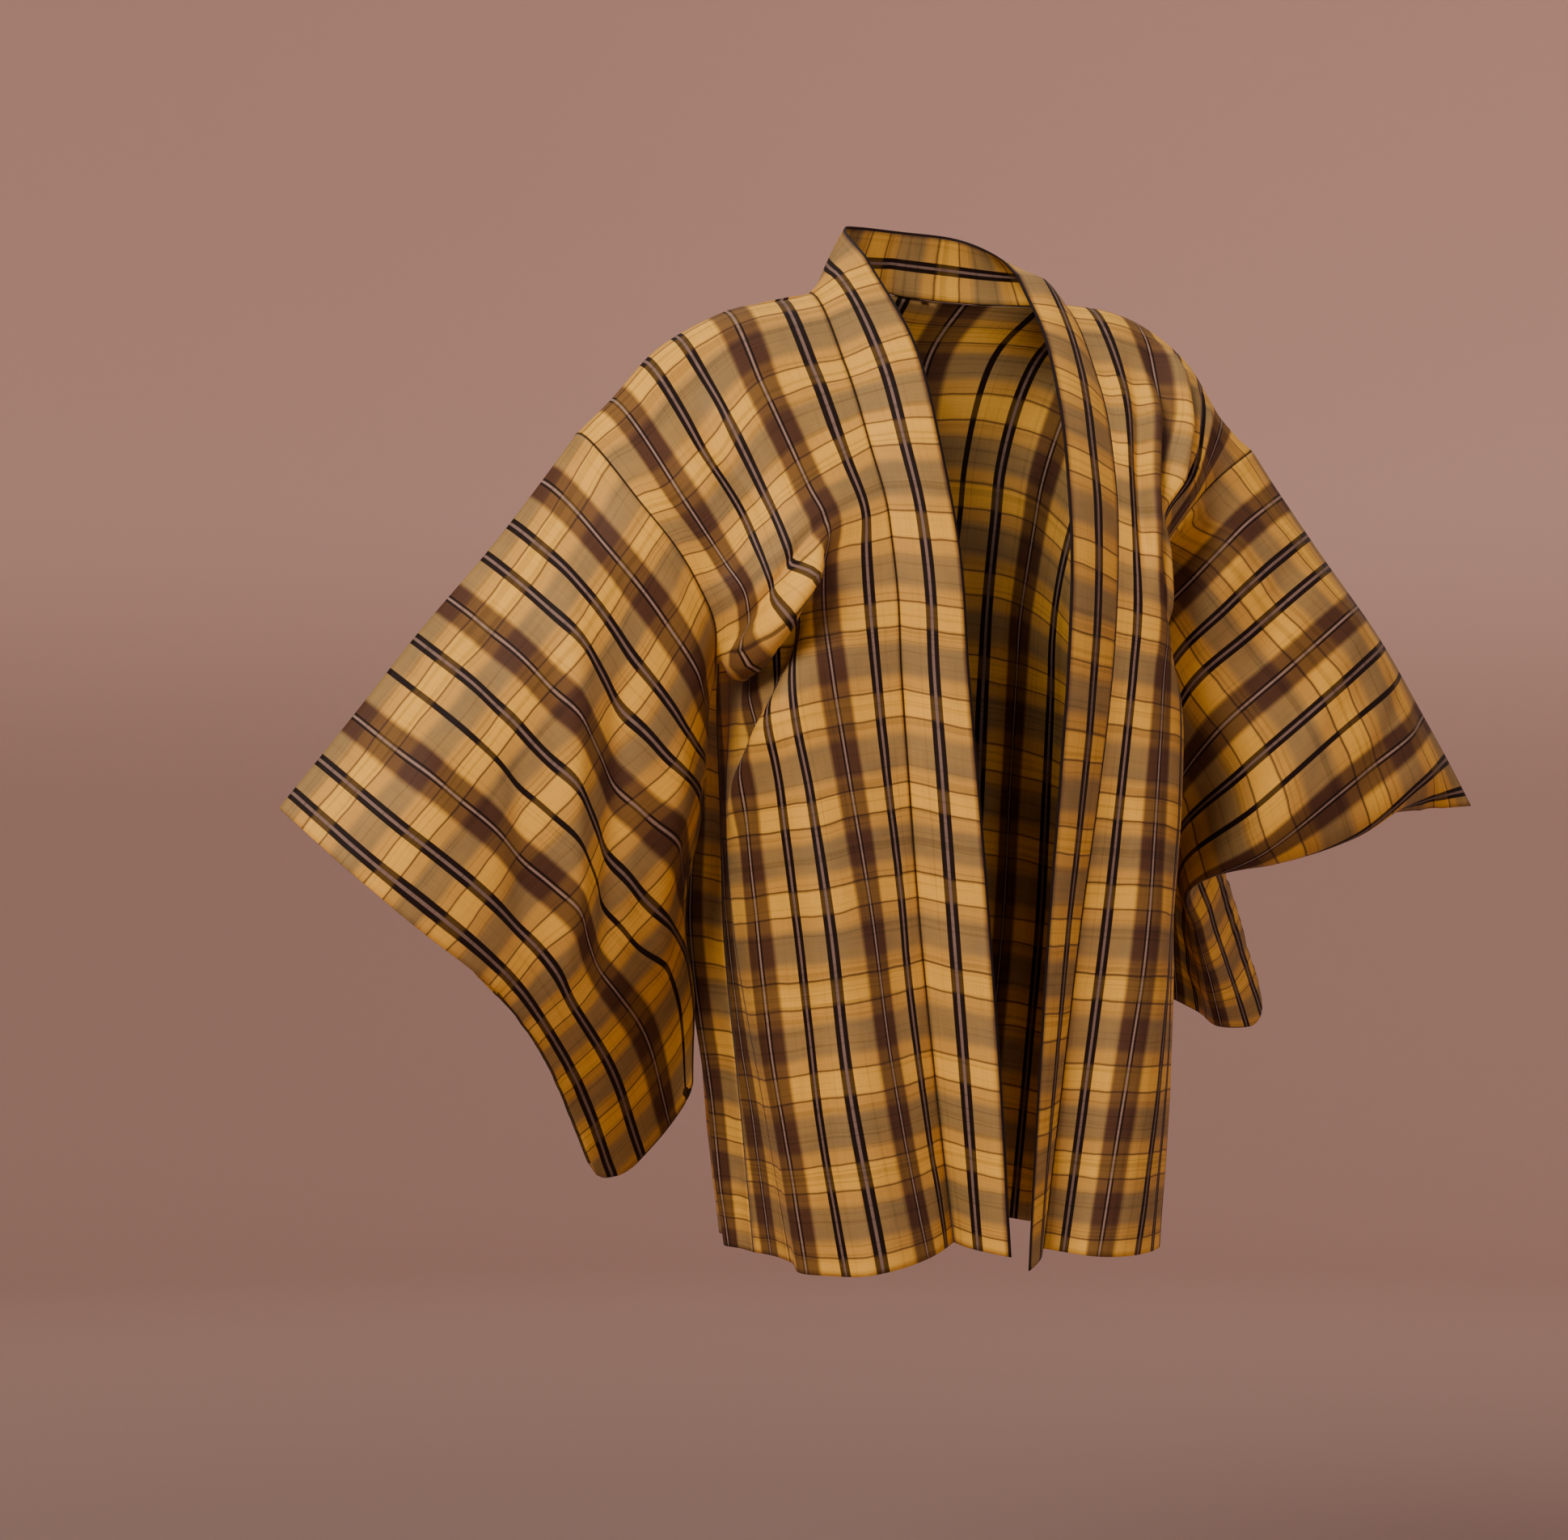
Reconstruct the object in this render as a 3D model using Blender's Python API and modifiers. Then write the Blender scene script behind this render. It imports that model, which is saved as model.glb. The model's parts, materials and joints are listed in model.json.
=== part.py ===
"""Haori jacket, worn open with nobody in it: two body halves that pass over the shoulders in one
length, two gussets, two bag sleeves and the long collar band. Metres, +Z up, front towards -Y.
The origin lies between the shoulders, level with the sides of the neck.

Every cloth piece is a sheet laid through a short net of points. A row of a net is a line across the
cloth, `down` cm along it from the shoulder fold, and a column follows one lengthwise thread, which
is named for the number of cm between it and the selvage. Points are (x, y, z) in cm."""

from collections import namedtuple

import bpy
import numpy as np

CM = 0.01

# Sizes of the cut cloth, in cm.
SLEEVE_WIDTH = 34.2
SLEEVE_DEPTH = 49.0
ARMHOLE = 23.0
BODY_LENGTH = 75.0
SIDE_THREAD = 34.2
NECK_THREAD = 13.0
CENTRE_BACK_THREAD = 3.2
NECK_DROP = 1.8
SLEEVE_CORNER_RADIUS = 4.0
WALL = 0.16
SEAM_GAP = 0.04
GUSSET_TOP_GAP = 0.4

# How finely the solids follow the sheets.
BODY_COLUMNS = 20
SLEEVE_COLUMNS = 16
COLLAR_COLUMNS = 4
GUSSET_COLUMNS = 3
NECK_ROWS = 7
ARMHOLE_DOWN = (0, 2, 5, 8, 10.7, 13.4, 16, 18, 20, 21.5, 23)
BODY_DOWN = ARMHOLE_DOWN + (25, 27, 29.5, 32, 36, 40, 45, 50, 56, 62, 68.5, BODY_LENGTH)
NECK_DOWN = tuple(NECK_DROP * np.sin(np.radians(np.linspace(0, 90, NECK_ROWS + 1)[1:])))
BACK_DOWN = NECK_DOWN + BODY_DOWN[2:]
SLEEVE_DOWN = ARMHOLE_DOWN + (26, 29, 32, 36, 40, 44, 47, 49)

Net = namedtuple("Net", "threads rows")

# The front of each half, from the collar seam to the side seam.
FRONT_THREADS = (NECK_THREAD, 19.0, 24.6, 29.9, SIDE_THREAD)
RIGHT_FRONT = Net(FRONT_THREADS, {
    0: (
        (-10.6, 1.0, -0.6), (-17.8, 0.5, -2.4), (-23.4, 0.0, -5.3),
        (-27.2, 0.0, -9.2), (-29.8, 0.0, -11.7),
    ),
    8: (
        (-10.4, -4.0, -6.3), (-17.3, -4.5, -8.3), (-20.9, -4.5, -12.3),
        (-24.4, -5.0, -15.7), (-27.2, -5.0, -16.9),
    ),
    16: (
        (-10.2, -7.5, -12.6), (-15.6, -8.0, -15.4), (-18.9, -7.5, -18.3),
        (-21.3, -6.5, -21.0), (-23.3, -5.5, -22.0),
    ),
    20: (
        (-9.8, -9.0, -16.5), (-14.9, -9.6, -18.4), (-18.6, -9.5, -21.7),
        (-20.3, -7.7, -23.8), (-21.3, -4.7, -25.3),
    ),
    23: (
        (-9.6, -9.5, -19.4), (-14.9, -9.0, -20.8), (-17.7, -9.2, -23.7),
        (-20.0, -6.3, -27.0), (-20.2, -2.6, -27.8),
    ),
    27: (
        (-9.3, -9.8, -23.2), (-14.4, -8.2, -24.0), (-15.7, -5.2, -24.6),
        (-17.0, -2.3, -26.4), (-17.6, 0.5, -27.2),
    ),
    32: (
        (-8.9, -9.5, -28.0), (-14.4, -9.3, -28.7), (-18.2, -8.6, -29.7),
        (-18.3, -4.0, -30.4), (-17.2, 1.0, -30.6),
    ),
    40: (
        (-8.3, -9.5, -35.8), (-13.3, -10.0, -36.5), (-17.3, -9.3, -37.4),
        (-18.6, -4.5, -38.0), (-18.0, 0.0, -38.3),
    ),
    50: (
        (-7.2, -9.0, -45.4), (-11.6, -10.2, -46.0), (-16.0, -9.4, -46.7),
        (-17.7, -4.5, -47.2), (-17.3, 0.0, -47.5),
    ),
    62: (
        (-5.3, -8.0, -57.2), (-9.5, -9.8, -57.8), (-14.3, -9.0, -58.4),
        (-15.9, -4.5, -59.2), (-15.0, 0.0, -59.5),
    ),
    75: (
        (-2.8, -6.5, -69.7), (-6.1, -8.6, -70.5), (-11.7, -9.0, -71.4),
        (-13.7, -4.5, -71.6), (-13.0, -0.5, -71.2),
    ),
})
LEFT_FRONT = Net(FRONT_THREADS, {
    0: ((10.8, 1.0, -0.2), (17.1, 0.5, -1.2), (21.4, 0.0, -4.2), (24.7, 0.0, -8.4), (27.6, 0.0, -10.8)),
    8: (
        (11.1, -4.0, -6.5), (17.0, -4.5, -7.6), (20.0, -4.4, -11.4),
        (21.4, -4.8, -14.4), (21.4, -4.0, -15.6),
    ),
    16: (
        (10.6, -7.0, -12.9), (15.6, -7.6, -14.4), (18.0, -6.8, -17.6),
        (18.8, -6.0, -20.2), (18.0, -5.0, -21.6),
    ),
    20: (
        (10.3, -8.0, -16.6), (15.2, -8.4, -18.1), (17.6, -7.2, -21.2),
        (18.6, -6.2, -23.8), (17.8, -4.3, -25.2),
    ),
    23: (
        (10.0, -8.5, -19.5), (14.9, -8.7, -20.8), (17.3, -6.6, -23.6),
        (18.4, -5.2, -26.4), (17.8, -2.6, -27.6),
    ),
    27: (
        (9.7, -8.8, -23.3), (14.4, -8.5, -24.4), (16.4, -5.0, -25.6),
        (16.8, -2.0, -27.4), (16.6, 0.4, -28.4),
    ),
    32: (
        (9.2, -9.0, -28.2), (14.0, -8.6, -28.9), (17.5, -5.4, -29.7),
        (18.4, -1.0, -30.4), (17.4, 2.8, -30.8),
    ),
    40: (
        (8.4, -8.5, -36.6), (13.2, -8.8, -37.1), (17.4, -6.0, -37.7),
        (19.2, -1.5, -38.2), (18.7, 2.5, -38.4),
    ),
    50: (
        (7.1, -8.0, -46.5), (12.4, -8.8, -46.9), (17.1, -5.4, -47.3),
        (19.4, -0.9, -47.6), (19.2, 3.3, -47.7),
    ),
    62: (
        (5.8, -7.4, -58.6), (10.4, -8.8, -58.9), (15.6, -6.4, -59.2),
        (18.5, -1.8, -59.4), (18.8, 2.6, -59.5),
    ),
    75: (
        (4.8, -6.4, -70.6), (8.4, -8.4, -71.2), (13.6, -6.9, -71.4),
        (17.0, -3.0, -71.4), (18.0, 1.2, -71.2),
    ),
})

# The back of each half, from the centre-back seam to the side seam.
BACK_THREADS = (CENTRE_BACK_THREAD, 8.0) + FRONT_THREADS
RIGHT_BACK = Net(BACK_THREADS, {
    0: ((0.0, 7.2, 1.9), (-5.6, 5.6, 1.0)) + RIGHT_FRONT.rows[0],
    8: (
        (0.0, 11.8, -4.0), (-4.9, 11.3, -4.0), (-10.1, 8.4, -4.2), (-16.8, 7.2, -6.4),
        (-21.4, 6.0, -10.8), (-24.9, 5.4, -15.0), (-27.3, 4.8, -17.2),
    ),
    16: (
        (0.0, 13.4, -11.8), (-4.9, 13.2, -11.8), (-9.9, 12.0, -11.8), (-15.2, 10.4, -13.6),
        (-19.2, 8.6, -17.3), (-22.0, 7.0, -20.8), (-23.6, 5.2, -22.6),
    ),
    20: (
        (0.0, 13.7, -15.8), (-4.9, 13.5, -15.8), (-9.8, 12.5, -15.8), (-14.8, 11.0, -17.2),
        (-18.5, 9.2, -20.4), (-21.2, 6.4, -24.0), (-21.5, 3.2, -25.8),
    ),
    23: (
        (0.0, 13.9, -18.8), (-4.8, 13.7, -18.8), (-9.7, 12.9, -18.8), (-14.4, 11.4, -20.0),
        (-17.9, 9.4, -22.8), (-20.2, 5.0, -26.4), (-19.8, 0.5, -27.9),
    ),
    27: (
        (0.0, 14.0, -22.8), (-4.8, 13.9, -22.8), (-9.5, 13.1, -22.8), (-13.8, 11.6, -23.7),
        (-16.6, 9.6, -25.7), (-17.6, 6.2, -27.6), (-17.2, 3.0, -27.4),
    ),
    32: (
        (0.0, 14.1, -27.8), (-4.7, 14.0, -27.8), (-9.3, 13.3, -27.8), (-13.4, 11.8, -28.4),
        (-15.9, 9.6, -29.5), (-17.0, 6.6, -30.4), (-16.7, 4.0, -30.7),
    ),
    40: (
        (0.0, 14.4, -35.8), (-4.6, 14.3, -35.8), (-9.0, 13.7, -35.8), (-12.8, 12.0, -36.4),
        (-15.2, 9.6, -37.2), (-16.4, 6.4, -38.0), (-16.6, 3.6, -38.4),
    ),
    50: (
        (0.0, 15.3, -45.8), (-4.4, 15.1, -45.8), (-8.5, 14.4, -45.8), (-12.0, 12.6, -46.2),
        (-14.4, 10.0, -46.8), (-15.6, 7.0, -47.2), (-15.9, 4.4, -47.5),
    ),
    62: (
        (0.0, 17.2, -57.6), (-4.2, 16.8, -57.6), (-7.8, 15.8, -57.8), (-10.8, 13.6, -58.2),
        (-13.0, 11.0, -58.8), (-14.0, 8.0, -59.3), (-14.1, 5.4, -59.6),
    ),
    75: (
        (0.0, 19.6, -70.2), (-4.2, 19.0, -70.2), (-7.6, 17.4, -70.4), (-10.2, 14.8, -70.6),
        (-12.0, 11.8, -70.8), (-12.8, 8.8, -71.0), (-12.6, 6.0, -71.2),
    ),
})
LEFT_BACK = Net(BACK_THREADS, {
    0: ((0.0, 7.2, 1.9), (5.6, 5.6, 1.0)) + LEFT_FRONT.rows[0],
    8: (
        (0.0, 11.8, -4.0), (4.9, 11.3, -4.0), (10.3, 8.4, -4.0), (16.4, 7.2, -5.6),
        (19.8, 6.0, -9.8), (21.6, 5.4, -14.0), (21.8, 4.7, -15.8),
    ),
    16: (
        (0.0, 13.4, -11.8), (4.9, 13.2, -11.8), (9.9, 12.0, -11.8), (15.0, 10.4, -13.2),
        (18.0, 8.6, -16.8), (18.9, 7.0, -20.4), (18.9, 5.2, -22.0),
    ),
    20: (
        (0.0, 13.7, -15.8), (4.9, 13.5, -15.8), (9.8, 12.5, -15.8), (14.6, 11.0, -17.0),
        (17.2, 9.2, -20.2), (18.2, 6.9, -23.7), (18.6, 3.6, -25.4),
    ),
    23: (
        (0.0, 13.9, -18.8), (4.8, 13.7, -18.8), (9.7, 12.9, -18.8), (14.3, 11.4, -20.0),
        (16.8, 9.4, -22.9), (17.7, 5.8, -26.4), (18.0, 0.9, -27.8),
    ),
    27: (
        (0.0, 14.0, -22.8), (4.8, 13.9, -22.8), (9.5, 13.1, -22.8), (13.9, 11.8, -23.7),
        (16.7, 9.8, -25.9), (17.4, 6.8, -27.9), (16.8, 3.6, -28.5),
    ),
    32: (
        (0.0, 14.1, -27.8), (4.7, 14.0, -27.8), (9.3, 13.4, -27.8), (13.8, 12.2, -28.4),
        (16.9, 10.2, -29.7), (18.0, 7.6, -30.7), (17.4, 5.6, -31.0),
    ),
    40: (
        (0.0, 14.4, -35.8), (4.6, 14.3, -35.8), (9.1, 13.9, -35.9), (13.6, 12.8, -36.6),
        (17.0, 10.8, -37.6), (18.4, 8.2, -38.3), (18.5, 6.0, -38.6),
    ),
    50: (
        (0.0, 15.3, -45.8), (4.5, 15.2, -45.8), (9.0, 14.7, -45.9), (13.4, 13.4, -46.5),
        (16.8, 11.4, -47.2), (18.5, 9.4, -47.6), (18.9, 7.6, -47.8),
    ),
    62: (
        (0.0, 17.2, -57.6), (4.4, 17.0, -57.7), (8.8, 16.4, -57.9), (13.0, 14.8, -58.4),
        (16.2, 12.4, -59.0), (17.9, 10.0, -59.4), (18.4, 7.8, -59.6),
    ),
    75: (
        (0.0, 19.6, -70.2), (4.4, 19.3, -70.2), (8.6, 18.3, -70.4), (12.4, 16.2, -70.7),
        (15.4, 13.2, -71.0), (17.0, 10.4, -71.1), (17.6, 7.6, -71.2),
    ),
})

# The front layer of each sleeve, from the cuff edge to the armhole seam and, below that, its open
# inner edge.
RIGHT_SLEEVE = Net((0.0, 8.3, 15.2, 24.6, SLEEVE_WIDTH), {
    0: (
        (-53.0, -2.0, -38.1), (-47.2, -1.0, -31.8), (-42.5, -0.5, -26.4),
        (-36.0, 0.0, -19.4), (-29.8, 0.0, -11.7),
    ),
    8: (
        (-49.1, -5.5, -42.5), (-43.4, -5.5, -36.0), (-38.8, -5.5, -30.7),
        (-32.8, -5.5, -24.1), (-27.2, -5.0, -16.9),
    ),
    16: (
        (-43.8, -6.0, -46.8), (-37.9, -6.0, -40.3), (-34.1, -6.0, -35.7),
        (-28.5, -6.0, -29.5), (-23.3, -5.5, -22.0),
    ),
    23: (
        (-37.9, -3.5, -50.6), (-32.8, -4.2, -44.7), (-29.6, -4.5, -40.6),
        (-23.7, -4.2, -34.2), (-20.2, -2.6, -27.8),
    ),
    31: (
        (-32.8, 0.0, -54.9), (-28.2, -1.0, -50.0), (-24.7, -0.8, -45.5),
        (-20.4, 0.4, -38.8), (-20.2, -2.6, -35.8),
    ),
    40: (
        (-27.9, 5.0, -60.3), (-22.0, 5.0, -55.0), (-18.0, 6.0, -49.6),
        (-18.9, 2.8, -46.4), (-20.2, -2.6, -44.8),
    ),
    49: (
        (-23.2, 9.6, -67.0), (-16.4, 12.6, -61.6), (-16.6, 9.0, -59.0),
        (-18.3, 3.0, -56.3), (-20.2, -2.6, -53.9),
    ),
})
LEFT_SLEEVE = Net((0.0, 4.4, 8.3, 15.2, 24.6, SLEEVE_WIDTH), {
    0: (
        (50.4, 2.0, -38.4), (47.6, 1.5, -34.6), (44.9, 1.0, -31.2),
        (40.6, 0.5, -25.6), (34.0, 0.0, -18.4), (27.6, 0.0, -10.8),
    ),
    6: (
        (45.6, 2.6, -39.4), (42.6, -2.0, -38.0), (40.4, -3.0, -34.8),
        (36.4, -3.6, -29.2), (29.4, -3.6, -22.0), (23.0, -3.2, -14.6),
    ),
    12: (
        (39.8, 4.6, -39.6), (37.6, -0.4, -41.8), (34.9, -2.6, -38.6),
        (31.2, -3.2, -33.2), (24.6, -3.0, -26.4), (19.6, -4.6, -18.6),
    ),
    18: (
        (34.4, 7.2, -39.2), (31.8, 2.4, -42.8), (29.0, -0.2, -42.2),
        (26.4, -0.6, -37.2), (21.4, 0.0, -31.0), (17.8, -4.8, -23.4),
    ),
    24: (
        (30.6, 9.2, -39.4), (27.8, 6.6, -42.8), (26.2, 5.6, -44.6),
        (27.6, 10.4, -43.2), (23.0, 6.2, -37.6), (18.2, -1.6, -28.6),
    ),
    32: (
        (34.0, 12.4, -44.2), (30.6, 9.8, -47.0), (28.6, 8.8, -48.2),
        (31.0, 14.6, -47.2), (25.8, 11.0, -42.2), (20.6, 2.8, -35.6),
    ),
    40: (
        (37.2, 14.6, -49.0), (33.6, 12.0, -51.4), (31.0, 10.6, -52.2),
        (33.4, 17.0, -51.0), (27.4, 14.4, -47.6), (21.4, 6.2, -42.8),
    ),
    49: (
        (41.0, 16.4, -56.0), (36.8, 13.8, -56.4), (33.2, 12.2, -56.2),
        (35.4, 18.8, -55.4), (28.8, 16.8, -52.8), (21.8, 9.4, -50.4),
    ),
})

# How far the back layer of a sleeve stands off its front layer, as (x, y, z) in cm. The layers
# part for the arm, and meet along the sewn part of the cuff edge and along the bottom.
RIGHT_SPREAD = Net((0.0, 8.3, 15.2, SLEEVE_WIDTH), {
    0: ((0.0, 0.0, 0.0), (0.0, 0.0, 0.0), (0.0, 0.0, 0.0), (0.0, 0.0, 0.0)),
    8: ((3.9, 7.6, 0.4), (1.6, 8.9, 0.2), (0.2, 10.0, 0.0), (-0.1, 9.8, -0.3)),
    16: ((2.6, 5.4, 0.5), (0.8, 7.6, 0.4), (-0.5, 9.0, 0.3), (-0.3, 10.7, -0.6)),
    23: ((0.0, 0.6, 0.0), (-0.4, 3.4, 0.3), (-0.8, 6.5, 0.5), (0.4, 3.1, -0.1)),
    31: ((-0.2, 0.4, 0.0), (0.0, 1.7, 0.3), (0.2, 3.4, 0.5), (1.0, 1.6, 0.2)),
    40: ((-0.2, 0.3, -0.1), (0.2, 0.9, 0.1), (0.6, 1.8, 0.3), (0.9, 0.6, 0.0)),
    49: ((-0.2, 0.3, -0.1), (0.2, 0.3, -0.1), (0.6, 0.5, -0.1), (0.7, 0.3, -0.1)),
})
LEFT_SPREAD = Net((0.0, 8.3, 11.8, 15.2, 24.6, SLEEVE_WIDTH), {
    0: (
        (0.0, 0.0, 0.0), (0.0, 0.0, 0.0), (0.0, 0.0, 0.0),
        (0.0, 0.0, 0.0), (0.0, 0.0, 0.0), (0.0, 0.0, 0.0),
    ),
    8: (
        (0.9, 3.4, 4.8), (1.0, 6.3, 2.5), (1.0, 7.5, 1.5),
        (1.0, 8.4, 0.6), (1.0, 7.8, 0.4), (0.4, 8.7, -0.2),
    ),
    16: (
        (0.9, 2.6, 4.8), (1.3, 6.0, 2.6), (1.4, 7.4, 1.5),
        (1.6, 8.6, 0.6), (1.8, 6.8, 0.5), (0.8, 10.2, -0.4),
    ),
    23: (
        (0.2, 0.5, 0.1), (1.6, 3.6, 0.4), (2.2, 3.8, 0.5),
        (2.4, 5.4, 0.6), (2.1, 4.8, 0.5), (0.2, 3.5, -0.2),
    ),
    32: (
        (-0.1, 0.5, 0.1), (1.2, 1.4, 0.2), (1.5, 0.6, 0.3),
        (1.6, 2.0, 0.4), (-0.4, 2.4, 0.5), (-0.6, 1.6, 0.4),
    ),
    40: (
        (-0.1, 0.5, 0.1), (1.0, 1.1, 0.2), (1.2, 0.2, 0.2),
        (1.4, 1.8, 0.3), (-0.6, 1.8, 0.6), (-0.8, 1.4, 0.4),
    ),
    49: (
        (0.0, 0.5, -0.1), (0.7, 0.7, 0.0), (0.7, 0.0, 0.0),
        (1.1, 1.2, 0.0), (-0.4, 1.0, 0.2), (-0.6, 0.7, 0.1),
    ),
})

# The free, folded edge of the collar, and how far the band arches out between its two edges.
# `along` is the cm down each front from the shoulder fold; at the neck it is degrees round from
# the shoulder fold to the centre back.
CollarRow = namedtuple("CollarRow", "along edge arch")
RIGHT_COLLAR = (
    CollarRow(75, (-0.9, -11.4, -70.4), 0.3),
    CollarRow(62, (-1.9, -11.8, -58.2), 0.3),
    CollarRow(50, (-3.0, -12.0, -46.4), 0.3),
    CollarRow(40, (-4.0, -12.2, -36.9), 0.3),
    CollarRow(32, (-4.7, -12.0, -28.8), 0.3),
    CollarRow(23, (-5.1, -11.4, -19.9), 0.3),
    CollarRow(16, (-5.6, -9.6, -12.4), 0.3),
    CollarRow(8, (-5.5, -5.6, -4.6), 0.3),
    CollarRow(0, (-6.8, -0.6, 2.2), 0.3),
)
RIGHT_NECK = (CollarRow(35, (-6.4, 3.2, 4.6), 0.3), CollarRow(65, (-3.9, 5.6, 5.2), 0.3))
CENTRE_NECK = CollarRow(90, (0.0, 6.4, 5.2), 0.3)
LEFT_NECK = (CollarRow(65, (3.9, 5.2, 4.8), 0.3), CollarRow(35, (6.0, 2.6, 3.4), 0.6))
LEFT_COLLAR = (
    CollarRow(0, (5.7, -1.2, 1.4), 0.9),
    CollarRow(8, (5.6, -5.6, -4.2), 0.5),
    CollarRow(16, (4.6, -9.6, -11.2), 0.3),
    CollarRow(23, (4.2, -11.2, -18.2), 0.3),
    CollarRow(32, (3.4, -12.2, -27.4), 0.3),
    CollarRow(40, (2.8, -12.0, -36.2), 0.3),
    CollarRow(50, (2.2, -11.5, -46.3), 0.3),
    CollarRow(62, (1.6, -11.0, -58.8), 0.3),
    CollarRow(75, (1.2, -10.5, -71.6), 0.3),
)

# Long soft folds, each from one point of the cloth to another, as (thread, down) in cm. Depth is
# positive where the cloth stands outwards. `top` is how far down the fold takes to grow.
Fold = namedtuple("Fold", "thread down to_thread to_down width depth top")
RIGHT_BACK_FOLDS = (
    Fold(6.4, 20, 5.6, 80, 2.0, 1.1, 20),
    Fold(11.2, 18, 10.0, 80, 2.1, -1.2, 18),
    Fold(15.6, 14, 14.6, 80, 2.2, 1.4, 18),
    Fold(20.4, 18, 19.4, 80, 2.1, -1.2, 16),
    Fold(25.0, 22, 24.4, 80, 2.0, 1.1, 18),
    Fold(29.2, 30, 28.8, 80, 1.8, -0.7, 16),
)
LEFT_BACK_FOLDS = (
    Fold(7.0, 24, 6.4, 80, 2.1, 0.9, 22),
    Fold(12.0, 16, 11.2, 80, 2.2, -1.2, 18),
    Fold(16.8, 14, 16.4, 80, 2.1, 1.3, 18),
    Fold(21.4, 20, 21.0, 80, 2.1, -1.0, 16),
    Fold(26.0, 24, 25.8, 80, 2.1, 0.9, 18),
)

CLOTH_GOLD = (0.62, 0.36, 0.11)
CLOTH_SHADE = {
    "body_right": 1.0, "body_left": 0.94, "gusset_right": 0.8, "gusset_left": 0.8,
    "sleeve_right": 0.9, "sleeve_left": 0.86, "collar": 1.08,
}


def slopes(knots, values, steady):
    """The slope at each knot: the mean of its neighbours' slopes or, for a steady curve, one that
    never passes a knot's value."""
    gaps = np.diff(knots).reshape((-1,) + (1,) * (values.ndim - 1))
    chords = np.diff(values, axis=0) / gaps
    before, after = chords[:-1], chords[1:]
    left, right = gaps[:-1], gaps[1:]
    mean = (before * right + after * left) / (left + right)
    if steady:
        same = before * after > 0
        total = np.where(same, before + after, 1.0)
        mean = np.where(same, 2 * before * after / total, 0.0)
    return np.concatenate([chords[:1], mean, chords[-1:]])


def curve(knots, values, at, steady=False):
    """Cubic pieces through `values` at `knots`, read at `at`."""
    knots, values, at = (np.asarray(part, float) for part in (knots, values, at))
    slope = slopes(knots, values, steady)
    index = np.clip(np.searchsorted(knots, at, side="right") - 1, 0, len(knots) - 2)
    shape = (-1,) + (1,) * (values.ndim - 1)
    step = (knots[index + 1] - knots[index]).reshape(shape)
    part = (at - knots[index]).reshape(shape) / step
    start, end = values[index], values[index + 1]
    bend = 3 * part**2 - 2 * part**3
    lift = (part**3 - 2 * part**2 + part) * slope[index] + (part**3 - part**2) * slope[index + 1]
    return start + (end - start) * bend + lift * step


def read_net(net, down, threads, steady=False):
    """Points at every pair of a row's `down` and of `threads`, as an array (down, threads, 3)."""
    knots = sorted(net.rows)
    table = np.array([net.rows[knot] for knot in knots], float)
    lines = curve(knots, table, down, steady)
    return curve(net.threads, lines.swapaxes(0, 1), threads, steady).swapaxes(0, 1)


def smooth_step(value):
    value = np.clip(value, 0.0, 1.0)
    return value * value * (3 - 2 * value)


def normals(points):
    """Unit normals of a grid of points, from the grid's two directions."""
    along = np.gradient(points, axis=0)
    across = np.gradient(points, axis=1)
    normal = np.cross(along, across)
    return normal / np.linalg.norm(normal, axis=2, keepdims=True)


def fold_height(folds, thread, down):
    """How far the folds lift the cloth at each thread and down: a soft ridge or trough each."""
    height = np.zeros(np.broadcast(thread, down).shape)
    for fold in folds:
        share = np.clip((down - fold.down) / (fold.to_down - fold.down), 0, 1)
        middle = fold.thread + share * (fold.to_thread - fold.thread)
        grown = smooth_step((down - fold.down) / fold.top)
        height += fold.depth * grown * np.exp(-(((thread - middle) / fold.width) ** 2))
    return height


def body_rows(front, back):
    """One body half as a grid: rows from the front hem over the shoulder to the back hem, each
    from the collar seam, the neck or the centre back to the side."""
    shared = Net(FRONT_THREADS, {-down: row for down, row in front.rows.items()})
    shared.rows.update({down: back.rows[down][2:] for down in back.rows if down})
    part = np.linspace(0, 1, BODY_COLUMNS + 1)
    threads = NECK_THREAD + part * (SIDE_THREAD - NECK_THREAD)
    front_down = -np.array(BODY_DOWN[::-1], float)
    front_grid = read_net(shared, front_down, threads)

    turn = np.radians(np.linspace(0, 90, NECK_ROWS + 1)[1:])
    neck_start = CENTRE_BACK_THREAD + (NECK_THREAD - CENTRE_BACK_THREAD) * np.cos(turn)
    back_down = np.array(BACK_DOWN)
    starts = np.concatenate([neck_start, np.full(len(BODY_DOWN) - 2, CENTRE_BACK_THREAD)])
    thread = starts[:, None] + part * (SIDE_THREAD - starts[:, None])
    table = {down: back.rows[down] for down in back.rows}
    rows = [read_net(Net(BACK_THREADS, table), [down], line)[0] for down, line in zip(back_down, thread)]
    own = np.array(rows)
    over = read_net(shared, back_down, threads)
    edge_fix = (over[:, -1] - own[:, -1])[:, None] * part[None, :, None] ** 3
    own = own + edge_fix
    return front_grid, own, thread, back_down


def dress_back(grid, thread, down, folds, outward):
    """The back of a half with its long folds. They fade out before the seams."""
    height = fold_height(folds, thread, down[:, None])
    from_side = smooth_step((SIDE_THREAD - thread) / 4)
    from_centre = smooth_step((thread - CENTRE_BACK_THREAD) / 2)
    lift = height * from_side * from_centre
    return grid + lift[:, :, None] * normals(grid) * outward


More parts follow.
